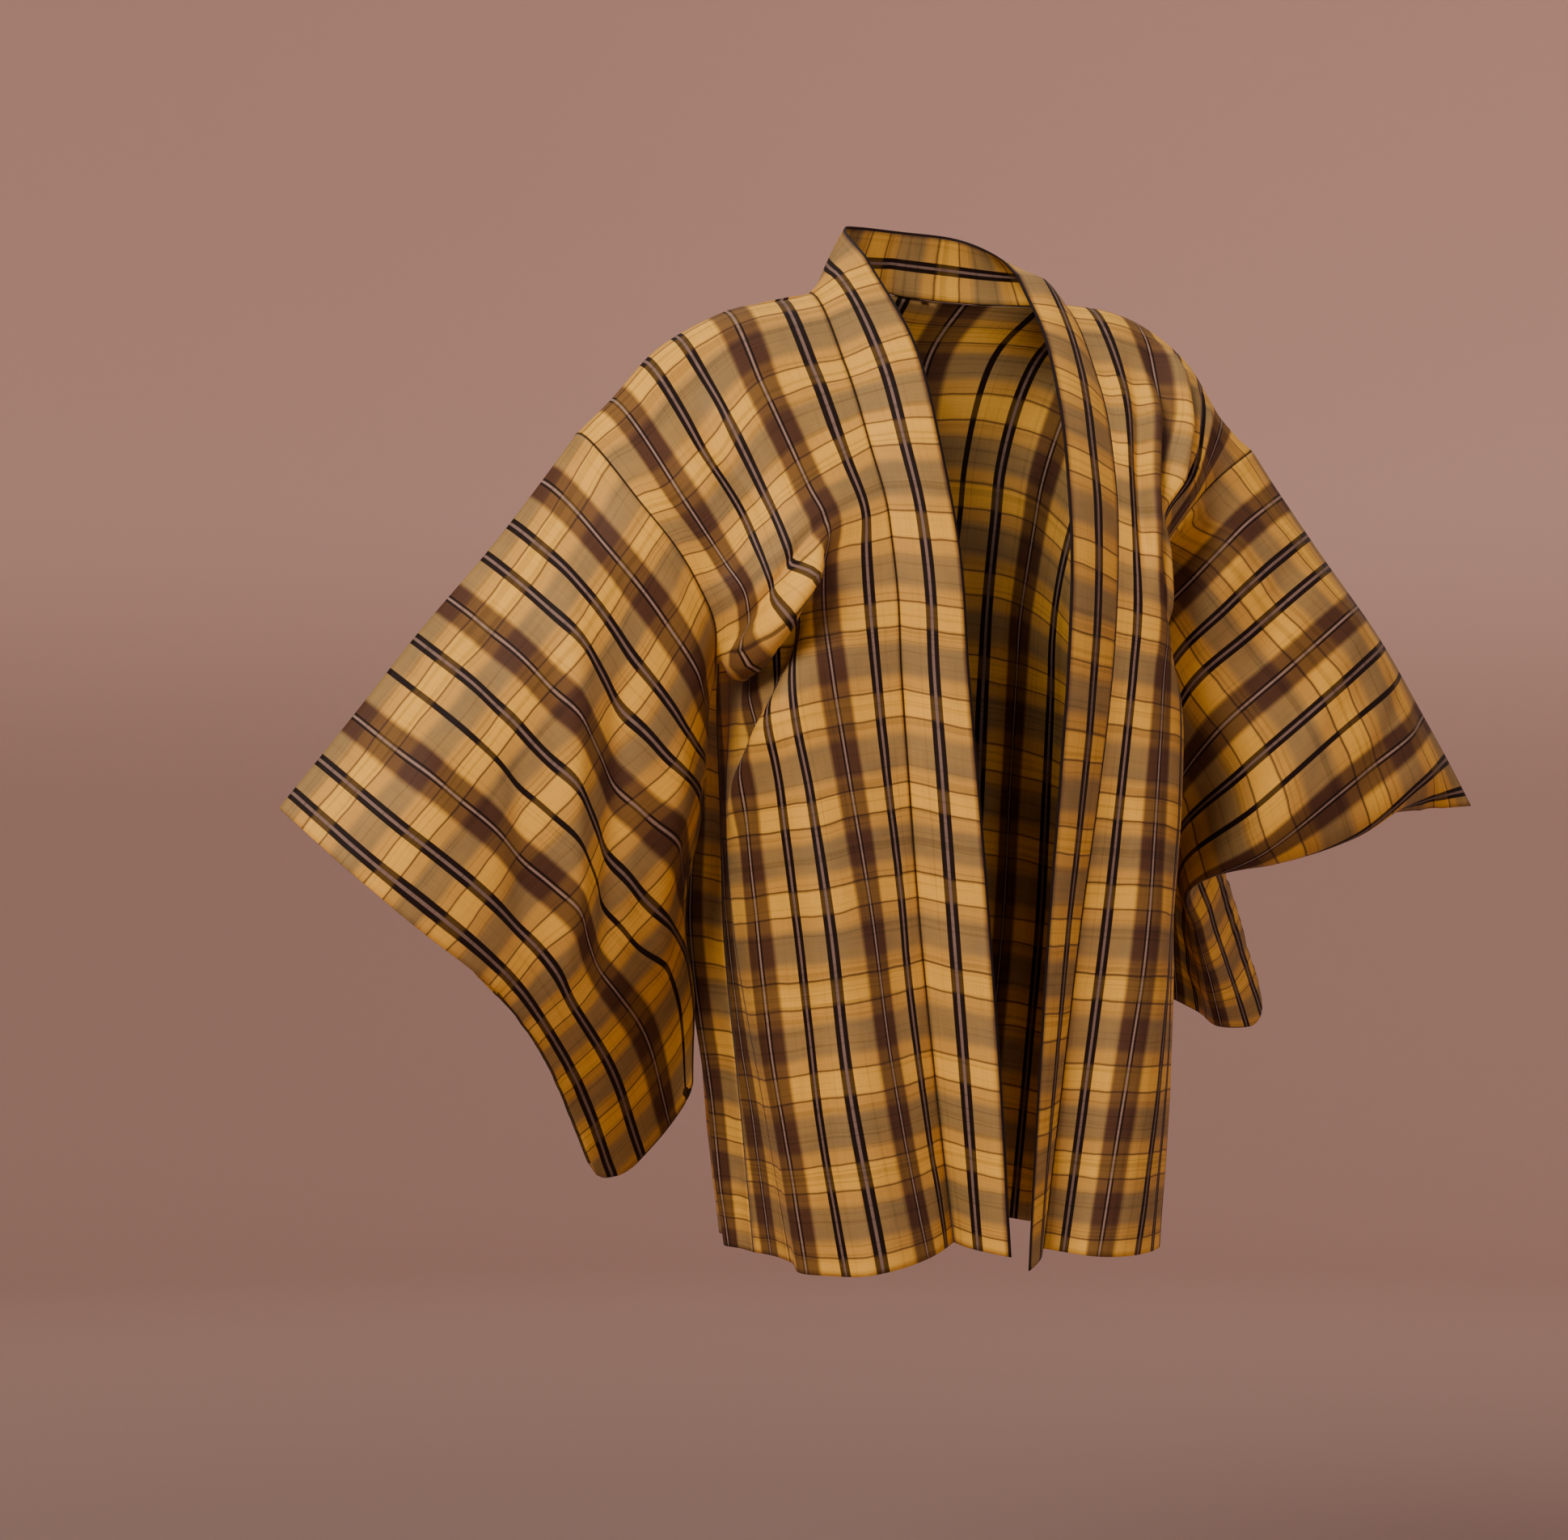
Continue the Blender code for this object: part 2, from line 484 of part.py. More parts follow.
def sleeve_grid(front_net, spread_net, front_seam, back_seam):
    """A sleeve as rings: each row runs round the bag, from the top fold down the front layer and
    back up the other one. Columns run from the cuff to the armhole."""
    threads = np.linspace(0, SLEEVE_WIDTH, SLEEVE_COLUMNS + 1)
    rise = np.clip(SLEEVE_CORNER_RADIUS - threads, 0, None)
    bottom = SLEEVE_DEPTH - SLEEVE_CORNER_RADIUS + np.sqrt(SLEEVE_CORNER_RADIUS**2 - rise**2)
    down = np.array(SLEEVE_DOWN, float)
    low = smooth_step((down - ARMHOLE) / (SLEEVE_DEPTH - ARMHOLE))
    actual = down[:, None] - low[:, None] * (SLEEVE_DEPTH - bottom)
    front = np.stack([
        read_net(front_net, actual[:, column], [thread])[:, 0] for column, thread in enumerate(threads)
    ], axis=1)
    spread = np.stack([
        read_net(spread_net, actual[:, column], [thread], steady=True)[:, 0]
        for column, thread in enumerate(threads)
    ], axis=1)
    back = front + spread
    for layer, seam in ((front, front_seam), (back, back_seam)):
        fix = np.zeros((len(down), 3))
        fix[:len(seam)] = seam - layer[:len(seam), -1]
        fade = np.exp(-(down[len(seam):] - ARMHOLE) / 3)
        fix[len(seam):] = fix[len(seam) - 1] * fade[:, None]
        layer += fix[:, None] * ((threads / SLEEVE_WIDTH) ** 4)[None, :, None]
    return front, back


def unit(vectors):
    return vectors / np.linalg.norm(vectors, axis=-1, keepdims=True)


def away_from(edge, inner):
    """At each point of an edge line, the unit direction into its sheet, square to the line."""
    along = unit(np.gradient(edge, axis=0))
    into = inner - edge
    return unit(into - (into * along).sum(axis=-1, keepdims=True) * along)


def setback(into, other):
    """How far a sheet stops short of its seam, so that two walls end SEAM_GAP apart whatever the
    angle between them: half the gap where they run on flat, and more where they meet sharply."""
    cosine = np.clip((into * other).sum(axis=-1, keepdims=True), -1, 0.7)
    return SEAM_GAP / 2 + WALL / 2 * np.sqrt((1 + cosine) / (1 - cosine))


def part_seam(edge, inner, other_edge, other_inner):
    """Two sheets' edge lines along one seam, each moved back from it into its own sheet."""
    into, other = away_from(edge, inner), away_from(other_edge, other_inner)
    amount = setback(into, other)
    return edge + into * amount, other_edge + other * amount


def sheet_object(name, grid, collection, closed=False):
    """A wall of cloth from a grid of points: an open surface, thickened evenly to both sides."""
    rows, columns = grid.shape[:2]
    index = np.arange(rows * columns).reshape(rows, columns)
    if closed:
        index = np.concatenate([index, index[:1]])
    faces = np.stack([index[:-1, :-1], index[:-1, 1:], index[1:, 1:], index[1:, :-1]], axis=-1)
    mesh = bpy.data.meshes.new(name)
    mesh.from_pydata((grid.reshape(-1, 3) * CM).tolist(), [], faces.reshape(-1, 4).tolist())
    mesh.shade_smooth()
    obj = bpy.data.objects.new(name, mesh)
    collection.objects.link(obj)
    wall = obj.modifiers.new("wall", "SOLIDIFY")
    wall.thickness = WALL * CM
    wall.offset = 0.0
    mesh.materials.append(cloth_material(name))
    return obj


def cloth_material(name):
    """Gold silk, a little lighter or darker from piece to piece."""
    material = bpy.data.materials.new(name + "_silk")
    material.use_nodes = True
    shader = material.node_tree.nodes["Principled BSDF"]
    shade = CLOTH_SHADE[name]
    shader.inputs["Base Color"].default_value = tuple(part * shade for part in CLOTH_GOLD) + (1.0,)
    shader.inputs["Roughness"].default_value = 0.5
    shader.inputs["Metallic"].default_value = 0.0
    return material


def collar_edge(rows, key, down):
    knots = [row.along for row in rows]
    order = np.argsort(knots)
    values = np.array([getattr(rows[item], key) for item in order], float)
    return curve(np.array(knots, float)[order], values.reshape(len(knots), -1), down)


def collar_grid(right, left):
    """The collar band, from the right hem round the neck to the left hem: straight across from
    the seam to the folded edge, with a slight arch."""
    down = np.array(BODY_DOWN, float)
    turn = np.linspace(0, 90, NECK_ROWS + 1)[1:]
    right_round = (RIGHT_COLLAR[-1]._replace(along=0),) + RIGHT_NECK + (CENTRE_NECK,)
    left_round = (LEFT_COLLAR[0]._replace(along=0),) + LEFT_NECK[::-1] + (CENTRE_NECK,)
    rows = len(BODY_DOWN) + NECK_ROWS
    seam = np.concatenate([right[:rows, 0], left[rows - 2::-1, 0]])
    lines = {}
    for key in ("edge", "arch"):
        lines[key] = np.concatenate([
            collar_edge(RIGHT_COLLAR, key, down[::-1]),
            collar_edge(right_round, key, turn),
            collar_edge(left_round, key, turn)[-2::-1],
            collar_edge(LEFT_COLLAR, key, down),
        ])
    part = np.linspace(0, 1, COLLAR_COLUMNS + 1)[None, :, None]
    band = seam[:, None] + (lines["edge"] - seam)[:, None] * part
    bulge = lines["arch"][:, None] * np.sin(np.pi * part)
    return band - bulge * normals(band)


def gusset_grid(front_side, back_side, outward):
    """A gusset between the two side seams of one half, from the armhole to the hem."""
    part = np.linspace(0, 1, GUSSET_COLUMNS + 1)[None, :, None]
    strip = front_side[:, None] + (back_side - front_side)[:, None] * part
    bulge = 0.35 * np.sin(np.pi * part)
    return strip + bulge * normals(strip) * outward


def clear_scene():
    for obj in list(bpy.data.objects):
        bpy.data.objects.remove(obj, do_unlink=True)


def side_rows(half):
    """The side edge of a half, front and back, each at every BODY_DOWN from the shoulder fold."""
    front = half[:len(BODY_DOWN)][::-1, -1]
    down = np.concatenate([[0], BACK_DOWN])
    back = np.concatenate([front[:1], half[len(BODY_DOWN):, -1]])
    return front.copy(), curve(down, back, BODY_DOWN)


def part_body_seams(right, left, collar):
    """Centre back and collar: the halves and the collar each stop short of their seams."""
    rows = len(BODY_DOWN)
    centre = rows + NECK_ROWS - 1
    for half, line in ((right, collar[:centre + 1]), (left, collar[:centre - 1:-1])):
        edge, band = part_seam(half[:centre + 1, 0], half[:centre + 1, 1], line[:, 0], line[:, 1])
        half[:centre + 1, 0] = edge
        line[:, 0] = band
    ends = part_seam(right[centre:, 0], right[centre:, 1], left[centre:, 0], left[centre:, 1])
    right[centre:, 0], left[centre:, 0] = ends


def part_side_seams(half, front, back, gusset):
    """Armhole and side seams of one half: its edge, the sleeve's layers and the gusset."""
    rows, holes = len(BODY_DOWN), len(ARMHOLE_DOWN)
    down = np.array(BODY_DOWN, float)
    body = away_from(half[:, -1], half[:, -2])
    own = {"front": body[:rows][::-1], "back": curve((0.0,) + BACK_DOWN, body[rows - 1:], down)}
    other = {}
    for key, layer, strip, inner in (("front", front, 0, 1), ("back", back, -1, -2)):
        sleeve = away_from(layer[:holes, -1], layer[:holes, -2])
        side = away_from(gusset[:, strip], gusset[:, inner])
        layer[:holes, -1] += sleeve * setback(sleeve, own[key][:holes])
        gusset[:, strip] += side * setback(side, own[key][holes - 1:])
        other[key] = np.concatenate([sleeve[:-1], unit(sleeve[-1:] + side[:1]), side[1:]])
    beyond = np.concatenate([other["front"][::-1], curve(down, other["back"], BACK_DOWN)])
    half[:, -1] += body * setback(body, beyond)
    gusset[0] += unit(gusset[1] - gusset[0]) * GUSSET_TOP_GAP


def build_haori():
    clear_scene()
    collection = bpy.data.collections.new("haori_jacket")
    bpy.context.scene.collection.children.link(collection)

    halves = {}
    for side, front, back, folds, outward in (
        ("right", RIGHT_FRONT, RIGHT_BACK, RIGHT_BACK_FOLDS, -1),
        ("left", LEFT_FRONT, LEFT_BACK, LEFT_BACK_FOLDS, 1),
    ):
        front_grid, back_grid, thread, down = body_rows(front, back)
        back_grid = dress_back(back_grid, thread, down, folds, outward)
        halves[side] = np.concatenate([front_grid, back_grid])
    collar = collar_grid(halves["right"], halves["left"])

    pieces = {"collar": (collar, False)}
    for side, net, spread, outward in (
        ("right", RIGHT_SLEEVE, RIGHT_SPREAD, 1),
        ("left", LEFT_SLEEVE, LEFT_SPREAD, -1),
    ):
        half = halves[side]
        front_side, back_side = side_rows(half)
        holes = len(ARMHOLE_DOWN)
        front, back = sleeve_grid(net, spread, front_side[:holes], back_side[:holes])
        gusset = gusset_grid(front_side[holes - 1:], back_side[holes - 1:], outward)
        part_side_seams(half, front, back, gusset)
        pieces["gusset_" + side] = (gusset, False)
        pieces["sleeve_" + side] = (np.concatenate([front, back[:0:-1]]), True)
        pieces["body_" + side] = (half, False)
    part_body_seams(halves["right"], halves["left"], collar)
    for name, (grid, closed) in pieces.items():
        sheet_object(name, grid, collection, closed)


build_haori()
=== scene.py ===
"""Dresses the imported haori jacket: plaid silk in seven sewn pieces, hung open in the pose it is
worn in, on a pale studio floor.

Every sheet of cloth carries two cloth coordinates in cm: `thread`, counted across the cloth from
its outer selvage, and `down`, counted along it from the shoulder fold. A sheet's shape is a short
net of points read through smooth cubics; folds, puckers and crumples are then added square to it.
"""

from __future__ import annotations

import json
import logging
import math
from collections.abc import Sequence
from dataclasses import dataclass, field, replace
from enum import Enum

import bpy
import numpy as np
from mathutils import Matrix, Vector

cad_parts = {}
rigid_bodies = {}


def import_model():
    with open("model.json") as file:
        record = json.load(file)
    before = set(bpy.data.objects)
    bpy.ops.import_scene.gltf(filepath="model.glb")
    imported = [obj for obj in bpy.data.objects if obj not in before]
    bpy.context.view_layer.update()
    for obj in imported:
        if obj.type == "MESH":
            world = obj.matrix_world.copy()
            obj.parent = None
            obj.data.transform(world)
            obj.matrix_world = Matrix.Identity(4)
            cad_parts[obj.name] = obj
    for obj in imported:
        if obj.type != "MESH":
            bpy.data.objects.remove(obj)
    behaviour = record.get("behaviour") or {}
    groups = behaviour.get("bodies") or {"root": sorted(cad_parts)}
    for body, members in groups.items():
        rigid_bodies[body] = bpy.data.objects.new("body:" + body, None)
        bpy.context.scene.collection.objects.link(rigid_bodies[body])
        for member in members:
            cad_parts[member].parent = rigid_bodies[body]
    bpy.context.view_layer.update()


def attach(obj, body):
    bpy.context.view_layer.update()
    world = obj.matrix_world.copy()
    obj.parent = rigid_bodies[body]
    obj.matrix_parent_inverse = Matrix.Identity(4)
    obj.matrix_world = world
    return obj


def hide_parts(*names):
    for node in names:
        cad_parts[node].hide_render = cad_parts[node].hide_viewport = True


LOG = logging.getLogger("haori")

Numbers = Sequence[float] | np.ndarray
Color = tuple[float, float, float]
Socket = bpy.types.NodeSocket

CM = 0.01

# Sizes of the cut cloth, in cm.
SLEEVE_WIDTH = 34.2
SLEEVE_DEPTH = 49.0
ARMHOLE = 23.0
BODY_LENGTH = 75.0
SIDE_THREAD = 34.2
NECK_THREAD = 13.0
CENTRE_BACK_THREAD = 3.2
NECK_DROP = 1.8
SLEEVE_CORNER_RADIUS = 4.0
COLLAR_WIDTH = 5.3
# The gusset narrows towards the armhole, so its area is this share of its width by its length.
GUSSET_TAPER = 0.68
WALL = 0.1
SEAM_GAP = 0.012

# The thread of the check at which each of the two narrow pieces starts, in cm.
GUSSET_THREAD = 33.8
COLLAR_THREAD = 12.65
# How far a fold draws the woven stripes aside, per cm of its height, on a sleeve and on the body.
SLEEVE_DRAW = -0.35
BODY_DRAW = -0.245
# How much deeper a cuff edge puckers than a seam, and how much of the crumples and puckers the
# collar takes, as its two layers are stiffer.
CUFF_PUCKER = 2.5
COLLAR_CRUMPLE = 0.7
COLLAR_PUCKER = 0.8
# How far a gusset bows out between its seams, in cm.
GUSSET_BOW = 0.35
# A distance from a seam, in cm, at which it has no more effect on the cloth.
FAR = 9.0
# The distance in cm over which a sleeve that is moved to its armhole eases back below it.
ARMHOLE_EASE = 3.0
# The air in cm between a sleeve's two layers where they hang together, and where they are sewn.
HANGING_AIR = 0.04
SEWN_AIR = 0.02
# The cm below the top fold from which the two layers are kept apart, and the cm between them
# below which the way from one to the other is taken as straight back.
TOP_FOLD = 0.8
TOUCHING = 0.02
# The cosine of the sharpest angle that two sheets' walls are set back for at a seam.
SHARPEST = 0.7

# How finely the sheets are made.
BODY_COLUMNS = 60
SLEEVE_COLUMNS = 72
COLLAR_COLUMNS = 12
GUSSET_COLUMNS = 12
NECK_ROWS = 26
# The column that shows which way a sheet runs from its edge, and how many columns a seam moves.
INNER = 3
SEAM_COLUMNS = 5
# The points along each side of the lattice that smooth noise is read from.
LATTICE = 61

ARMHOLE_DOWN = np.linspace(0.0, ARMHOLE, 52)
BODY_DOWN = np.concatenate([ARMHOLE_DOWN, np.linspace(ARMHOLE, BODY_LENGTH, 112)[1:]])
SLEEVE_DOWN = np.concatenate([ARMHOLE_DOWN, np.linspace(ARMHOLE, SLEEVE_DEPTH, 56)[1:]])
NECK_TURN = np.linspace(0.0, 90.0, NECK_ROWS + 1)[1:]
NECK_DOWN = NECK_DROP * np.sin(np.radians(NECK_TURN))
BACK_DOWN = np.concatenate([NECK_DOWN, BODY_DOWN[BODY_DOWN > NECK_DROP + 0.3]])


class Side(Enum):
    """The wearer's side that a piece is on; the value is the sign of its x."""

    RIGHT = -1
    LEFT = 1

    @property
    def word(self) -> str:
        """The side as it stands in a node's name."""
        return self.name.lower()


# Where each piece's noise starts; a sheet takes its further seeds from a few numbers above it.
BODY_SEEDS = {Side.RIGHT: 11, Side.LEFT: 41}
SLEEVE_SEEDS = {Side.RIGHT: 71, Side.LEFT: 171}
GUSSET_SEEDS = {Side.RIGHT: 21, Side.LEFT: 23}
COLLAR_SEED = 31


@dataclass(frozen=True)
class Net:
    """Points of a sheet of cloth in cm: `rows` maps `down` to the points at each of `threads`."""

    threads: tuple[float, ...]
    rows: dict[float, tuple]

    def read(self, down: Numbers, threads: Numbers, steady: bool = False) -> np.ndarray:
        """Reads the net's smooth surface.

        Args:
            down: the rows' cm below the shoulder fold.
            threads: the columns' cm from the selvage.
            steady: whether the curves never pass a knot's value.

        Returns:
            Points as an array (down, threads, 3), in cm.
        """
        knots = sorted(self.rows)
        table = np.array([self.rows[knot] for knot in knots], float)
        lines = curve(knots, table, down, steady)
        return curve(self.threads, lines.swapaxes(0, 1), threads, steady).swapaxes(0, 1)


@dataclass(frozen=True)
class Fold:
    """One soft fold: a ridge where depth is positive and a trough where it is negative, along the
    straight cloth line from one (thread, down) to another. All in cm. `fade` is the share of its
    length over which each end runs out."""

    thread: float
    down: float
    to_thread: float
    to_down: float
    width: float
    depth: float
    fade: float = 0.35


@dataclass(frozen=True)
class CollarRow:
    """A section of the collar: `along` is the cm down a front, or the degrees round the neck;
    `edge` the point of its folded edge; `arch` how far the band bows out between its edges."""

    along: float
    edge: tuple[float, float, float]
    arch: float


# The front of each half, from the collar seam to the side seam.
FRONT_THREADS = (NECK_THREAD, 19.0, 24.6, 29.9, SIDE_THREAD)
RIGHT_FRONT = Net(FRONT_THREADS, {
    0: (
        (-10.6, 1.0, -0.6), (-17.8, 0.5, -2.4), (-23.4, 0.0, -5.3),
        (-27.2, 0.0, -9.2), (-29.8, 0.0, -11.7),
    ),
    8: (
        (-10.4, -4.0, -6.3), (-17.3, -4.5, -8.3), (-20.9, -4.5, -12.3),
        (-24.4, -5.0, -15.7), (-27.2, -5.0, -16.9),
    ),
    16: (
        (-10.2, -7.5, -12.6), (-15.6, -8.0, -15.4), (-18.9, -7.5, -18.3),
        (-21.3, -6.5, -21.0), (-23.3, -5.5, -22.0),
    ),
    20: (
        (-9.8, -9.0, -16.5), (-14.9, -9.6, -18.4), (-18.6, -9.5, -21.7),
        (-20.3, -7.7, -23.8), (-21.3, -4.7, -25.3),
    ),
    23: (
        (-9.6, -9.5, -19.4), (-14.9, -9.0, -20.8), (-17.7, -9.2, -23.7),
        (-20.0, -6.3, -27.0), (-20.2, -2.6, -27.8),
    ),
    27: (
        (-9.3, -9.8, -23.2), (-14.4, -8.2, -24.0), (-15.7, -5.2, -24.6),
        (-17.0, -2.3, -26.4), (-17.6, 0.5, -27.2),
    ),
    32: (
        (-8.9, -9.5, -28.0), (-14.4, -9.3, -28.7), (-18.2, -8.6, -29.7),
        (-18.3, -4.0, -30.4), (-17.2, 1.0, -30.6),
    ),
    40: (
        (-8.3, -9.5, -35.8), (-13.3, -10.0, -36.5), (-17.3, -9.3, -37.4),
        (-18.6, -4.5, -38.0), (-18.0, 0.0, -38.3),
    ),
    50: (
        (-7.2, -9.0, -45.4), (-11.6, -10.2, -46.0), (-16.0, -9.4, -46.7),
        (-17.7, -4.5, -47.2), (-17.3, 0.0, -47.5),
    ),
    62: (
        (-5.3, -8.0, -57.2), (-9.5, -9.8, -57.8), (-14.3, -9.0, -58.4),
        (-15.9, -4.5, -59.2), (-15.0, 0.0, -59.5),
    ),
    75: (
        (-2.8, -6.5, -69.7), (-6.1, -8.6, -70.5), (-11.7, -9.0, -71.4),
        (-13.7, -4.5, -71.6), (-13.0, -0.5, -71.2),
    ),
})
LEFT_FRONT = Net(FRONT_THREADS, {
    0: ((10.8, 1.0, -0.2), (17.1, 0.5, -1.2), (21.4, 0.0, -4.2), (24.7, 0.0, -8.4), (27.6, 0.0, -10.8)),
    8: (
        (11.1, -4.0, -6.5), (16.5, -4.5, -7.8), (18.9, -4.4, -11.2),
        (20.0, -4.6, -13.6), (20.9, -3.0, -14.7),
    ),
    16: (
        (10.6, -7.0, -12.9), (14.1, -7.6, -14.4), (14.9, -6.8, -17.4),
        (15.5, -5.0, -20.0), (16.7, -2.2, -21.4),
    ),
    20: (
        (10.3, -8.0, -16.6), (13.8, -8.4, -18.1), (14.9, -7.2, -21.0),
        (15.6, -5.0, -23.4), (16.8, -2.0, -24.8),
    ),
    23: (
        (10.0, -8.5, -19.5), (13.9, -8.7, -20.8), (15.4, -6.6, -23.6),
        (16.4, -4.4, -26.2), (17.2, -1.8, -27.4),
    ),
    27: (
        (9.7, -8.8, -23.3), (14.4, -8.5, -24.4), (16.4, -5.0, -25.6),
        (16.8, -2.0, -27.4), (16.6, 0.4, -28.4),
    ),
    32: (
        (9.2, -9.0, -28.2), (14.0, -8.6, -28.9), (17.5, -5.4, -29.7),
        (18.4, -1.0, -30.4), (17.4, 2.8, -30.8),
    ),
    40: (
        (8.4, -8.5, -36.6), (13.2, -8.8, -37.1), (17.4, -6.0, -37.7),
        (19.2, -1.5, -38.2), (18.7, 2.5, -38.4),
    ),
    50: (
        (7.1, -8.0, -46.5), (12.4, -8.8, -46.9), (17.1, -5.4, -47.3),
        (19.4, -0.9, -47.6), (19.2, 3.3, -47.7),
    ),
    62: (
        (5.8, -7.4, -58.6), (10.4, -8.8, -58.9), (15.6, -6.4, -59.2),
        (18.5, -1.8, -59.4), (18.8, 2.6, -59.5),
    ),
    75: (
        (4.8, -6.4, -70.6), (8.4, -8.4, -71.2), (13.6, -6.9, -71.4),
        (17.0, -3.0, -71.4), (18.0, 1.2, -71.2),
    ),
})

# The back of each half, from the centre-back seam to the side seam.
BACK_THREADS = (CENTRE_BACK_THREAD, 8.0) + FRONT_THREADS
RIGHT_BACK = Net(BACK_THREADS, {
    0: ((0.0, 7.2, 1.9), (-5.6, 5.6, 1.0)) + RIGHT_FRONT.rows[0],
    8: (
        (0.0, 11.8, -4.0), (-4.9, 11.3, -4.0), (-10.1, 8.4, -4.2), (-16.8, 7.2, -6.4),
        (-21.4, 6.0, -10.8), (-24.9, 5.4, -15.0), (-27.3, 4.8, -17.2),
    ),
    16: (
        (0.0, 13.4, -11.8), (-4.9, 13.2, -11.8), (-9.9, 12.0, -11.8), (-15.2, 10.4, -13.6),
        (-19.2, 8.6, -17.3), (-22.0, 7.0, -20.8), (-23.6, 5.2, -22.6),
    ),
    20: (
        (0.0, 13.7, -15.8), (-4.9, 13.5, -15.8), (-9.8, 12.5, -15.8), (-14.8, 11.0, -17.2),
        (-18.5, 9.2, -20.4), (-21.2, 6.4, -24.0), (-21.5, 3.2, -25.8),
    ),
    23: (
        (0.0, 13.9, -18.8), (-4.8, 13.7, -18.8), (-9.7, 12.9, -18.8), (-14.4, 11.4, -20.0),
        (-17.9, 9.4, -22.8), (-20.2, 5.0, -26.4), (-19.8, 0.5, -27.9),
    ),
    27: (
        (0.0, 14.0, -22.8), (-4.8, 13.9, -22.8), (-9.5, 13.1, -22.8), (-13.8, 11.6, -23.7),
        (-16.6, 9.6, -25.7), (-17.6, 6.2, -27.6), (-17.2, 3.0, -27.4),
    ),
    32: (
        (0.0, 14.1, -27.8), (-4.7, 14.0, -27.8), (-9.3, 13.3, -27.8), (-13.4, 11.8, -28.4),
        (-15.9, 9.6, -29.5), (-17.0, 6.6, -30.4), (-16.7, 4.0, -30.7),
    ),
    40: (
        (0.0, 14.4, -35.8), (-4.6, 14.3, -35.8), (-9.0, 13.7, -35.8), (-13.2, 12.2, -36.4),
        (-16.0, 10.2, -37.2), (-16.6, 6.8, -38.0), (-16.6, 3.6, -38.4),
    ),
    50: (
        (0.0, 15.3, -45.8), (-4.4, 15.1, -45.8), (-8.5, 14.4, -45.8), (-12.9, 13.0, -46.2),
        (-16.0, 11.0, -46.8), (-16.4, 7.6, -47.2), (-15.9, 4.4, -47.5),
    ),
    62: (
        (0.0, 17.2, -57.6), (-4.2, 16.8, -57.6), (-7.8, 15.8, -57.8), (-11.4, 13.8, -58.2),
        (-13.8, 11.4, -58.8), (-14.4, 8.2, -59.3), (-14.1, 5.4, -59.6),
    ),
    75: (
        (0.0, 19.6, -70.2), (-4.2, 19.0, -70.2), (-7.6, 17.4, -70.4), (-10.2, 14.8, -70.6),
        (-12.0, 11.8, -70.8), (-12.8, 8.8, -71.0), (-12.6, 6.0, -71.2),
    ),
})
LEFT_BACK = Net(BACK_THREADS, {
    0: ((0.0, 7.2, 1.9), (5.6, 5.6, 1.0)) + LEFT_FRONT.rows[0],
    8: (
        (0.0, 11.8, -4.0), (4.9, 11.3, -4.0), (10.3, 8.4, -4.0), (16.4, 7.2, -5.6),
        (19.8, 6.0, -9.8), (21.6, 5.4, -14.0), (21.8, 4.7, -15.8),
    ),
    16: (
        (0.0, 13.4, -11.8), (4.9, 13.2, -11.8), (9.9, 12.0, -11.8), (15.0, 10.4, -13.2),
        (18.0, 8.6, -16.8), (18.9, 7.0, -20.4), (18.9, 5.2, -22.0),
    ),
    20: (
        (0.0, 13.7, -15.8), (4.9, 13.5, -15.8), (9.8, 12.5, -15.8), (14.6, 11.0, -17.0),
        (17.2, 9.2, -20.2), (18.2, 6.9, -23.7), (18.6, 3.6, -25.4),
    ),
    23: (
        (0.0, 13.9, -18.8), (4.8, 13.7, -18.8), (9.7, 12.9, -18.8), (14.3, 11.4, -20.0),
        (16.8, 9.4, -22.9), (17.7, 5.8, -26.4), (18.0, 0.9, -27.8),
    ),
    27: (
        (0.0, 14.0, -22.8), (4.8, 13.9, -22.8), (9.5, 13.1, -22.8), (13.9, 11.8, -23.7),
        (16.7, 9.8, -25.9), (17.4, 6.8, -27.9), (16.8, 3.6, -28.5),
    ),
    32: (
        (0.0, 14.1, -27.8), (4.7, 14.0, -27.8), (9.3, 13.4, -27.8), (13.8, 12.2, -28.4),
        (16.9, 10.2, -29.7), (18.0, 7.6, -30.7), (17.4, 5.6, -31.0),
    ),
    40: (
        (0.0, 14.4, -35.8), (4.6, 14.3, -35.8), (9.1, 13.9, -35.9), (13.6, 12.8, -36.6),
        (17.0, 10.8, -37.6), (18.4, 8.2, -38.3), (18.5, 6.0, -38.6),
    ),
    50: (
        (0.0, 15.3, -45.8), (4.5, 15.2, -45.8), (9.0, 14.7, -45.9), (13.4, 13.4, -46.5),
        (16.8, 11.4, -47.2), (18.5, 9.4, -47.6), (18.9, 7.6, -47.8),
    ),
    62: (
        (0.0, 17.2, -57.6), (4.4, 17.0, -57.7), (8.8, 16.4, -57.9), (13.0, 14.8, -58.4),
        (16.2, 12.4, -59.0), (17.9, 10.0, -59.4), (18.4, 7.8, -59.6),
    ),
    75: (
        (0.0, 19.6, -70.2), (4.4, 19.3, -70.2), (8.6, 18.3, -70.4), (12.4, 16.2, -70.7),
        (15.4, 13.2, -71.0), (17.0, 10.4, -71.1), (17.6, 7.6, -71.2),
    ),
})

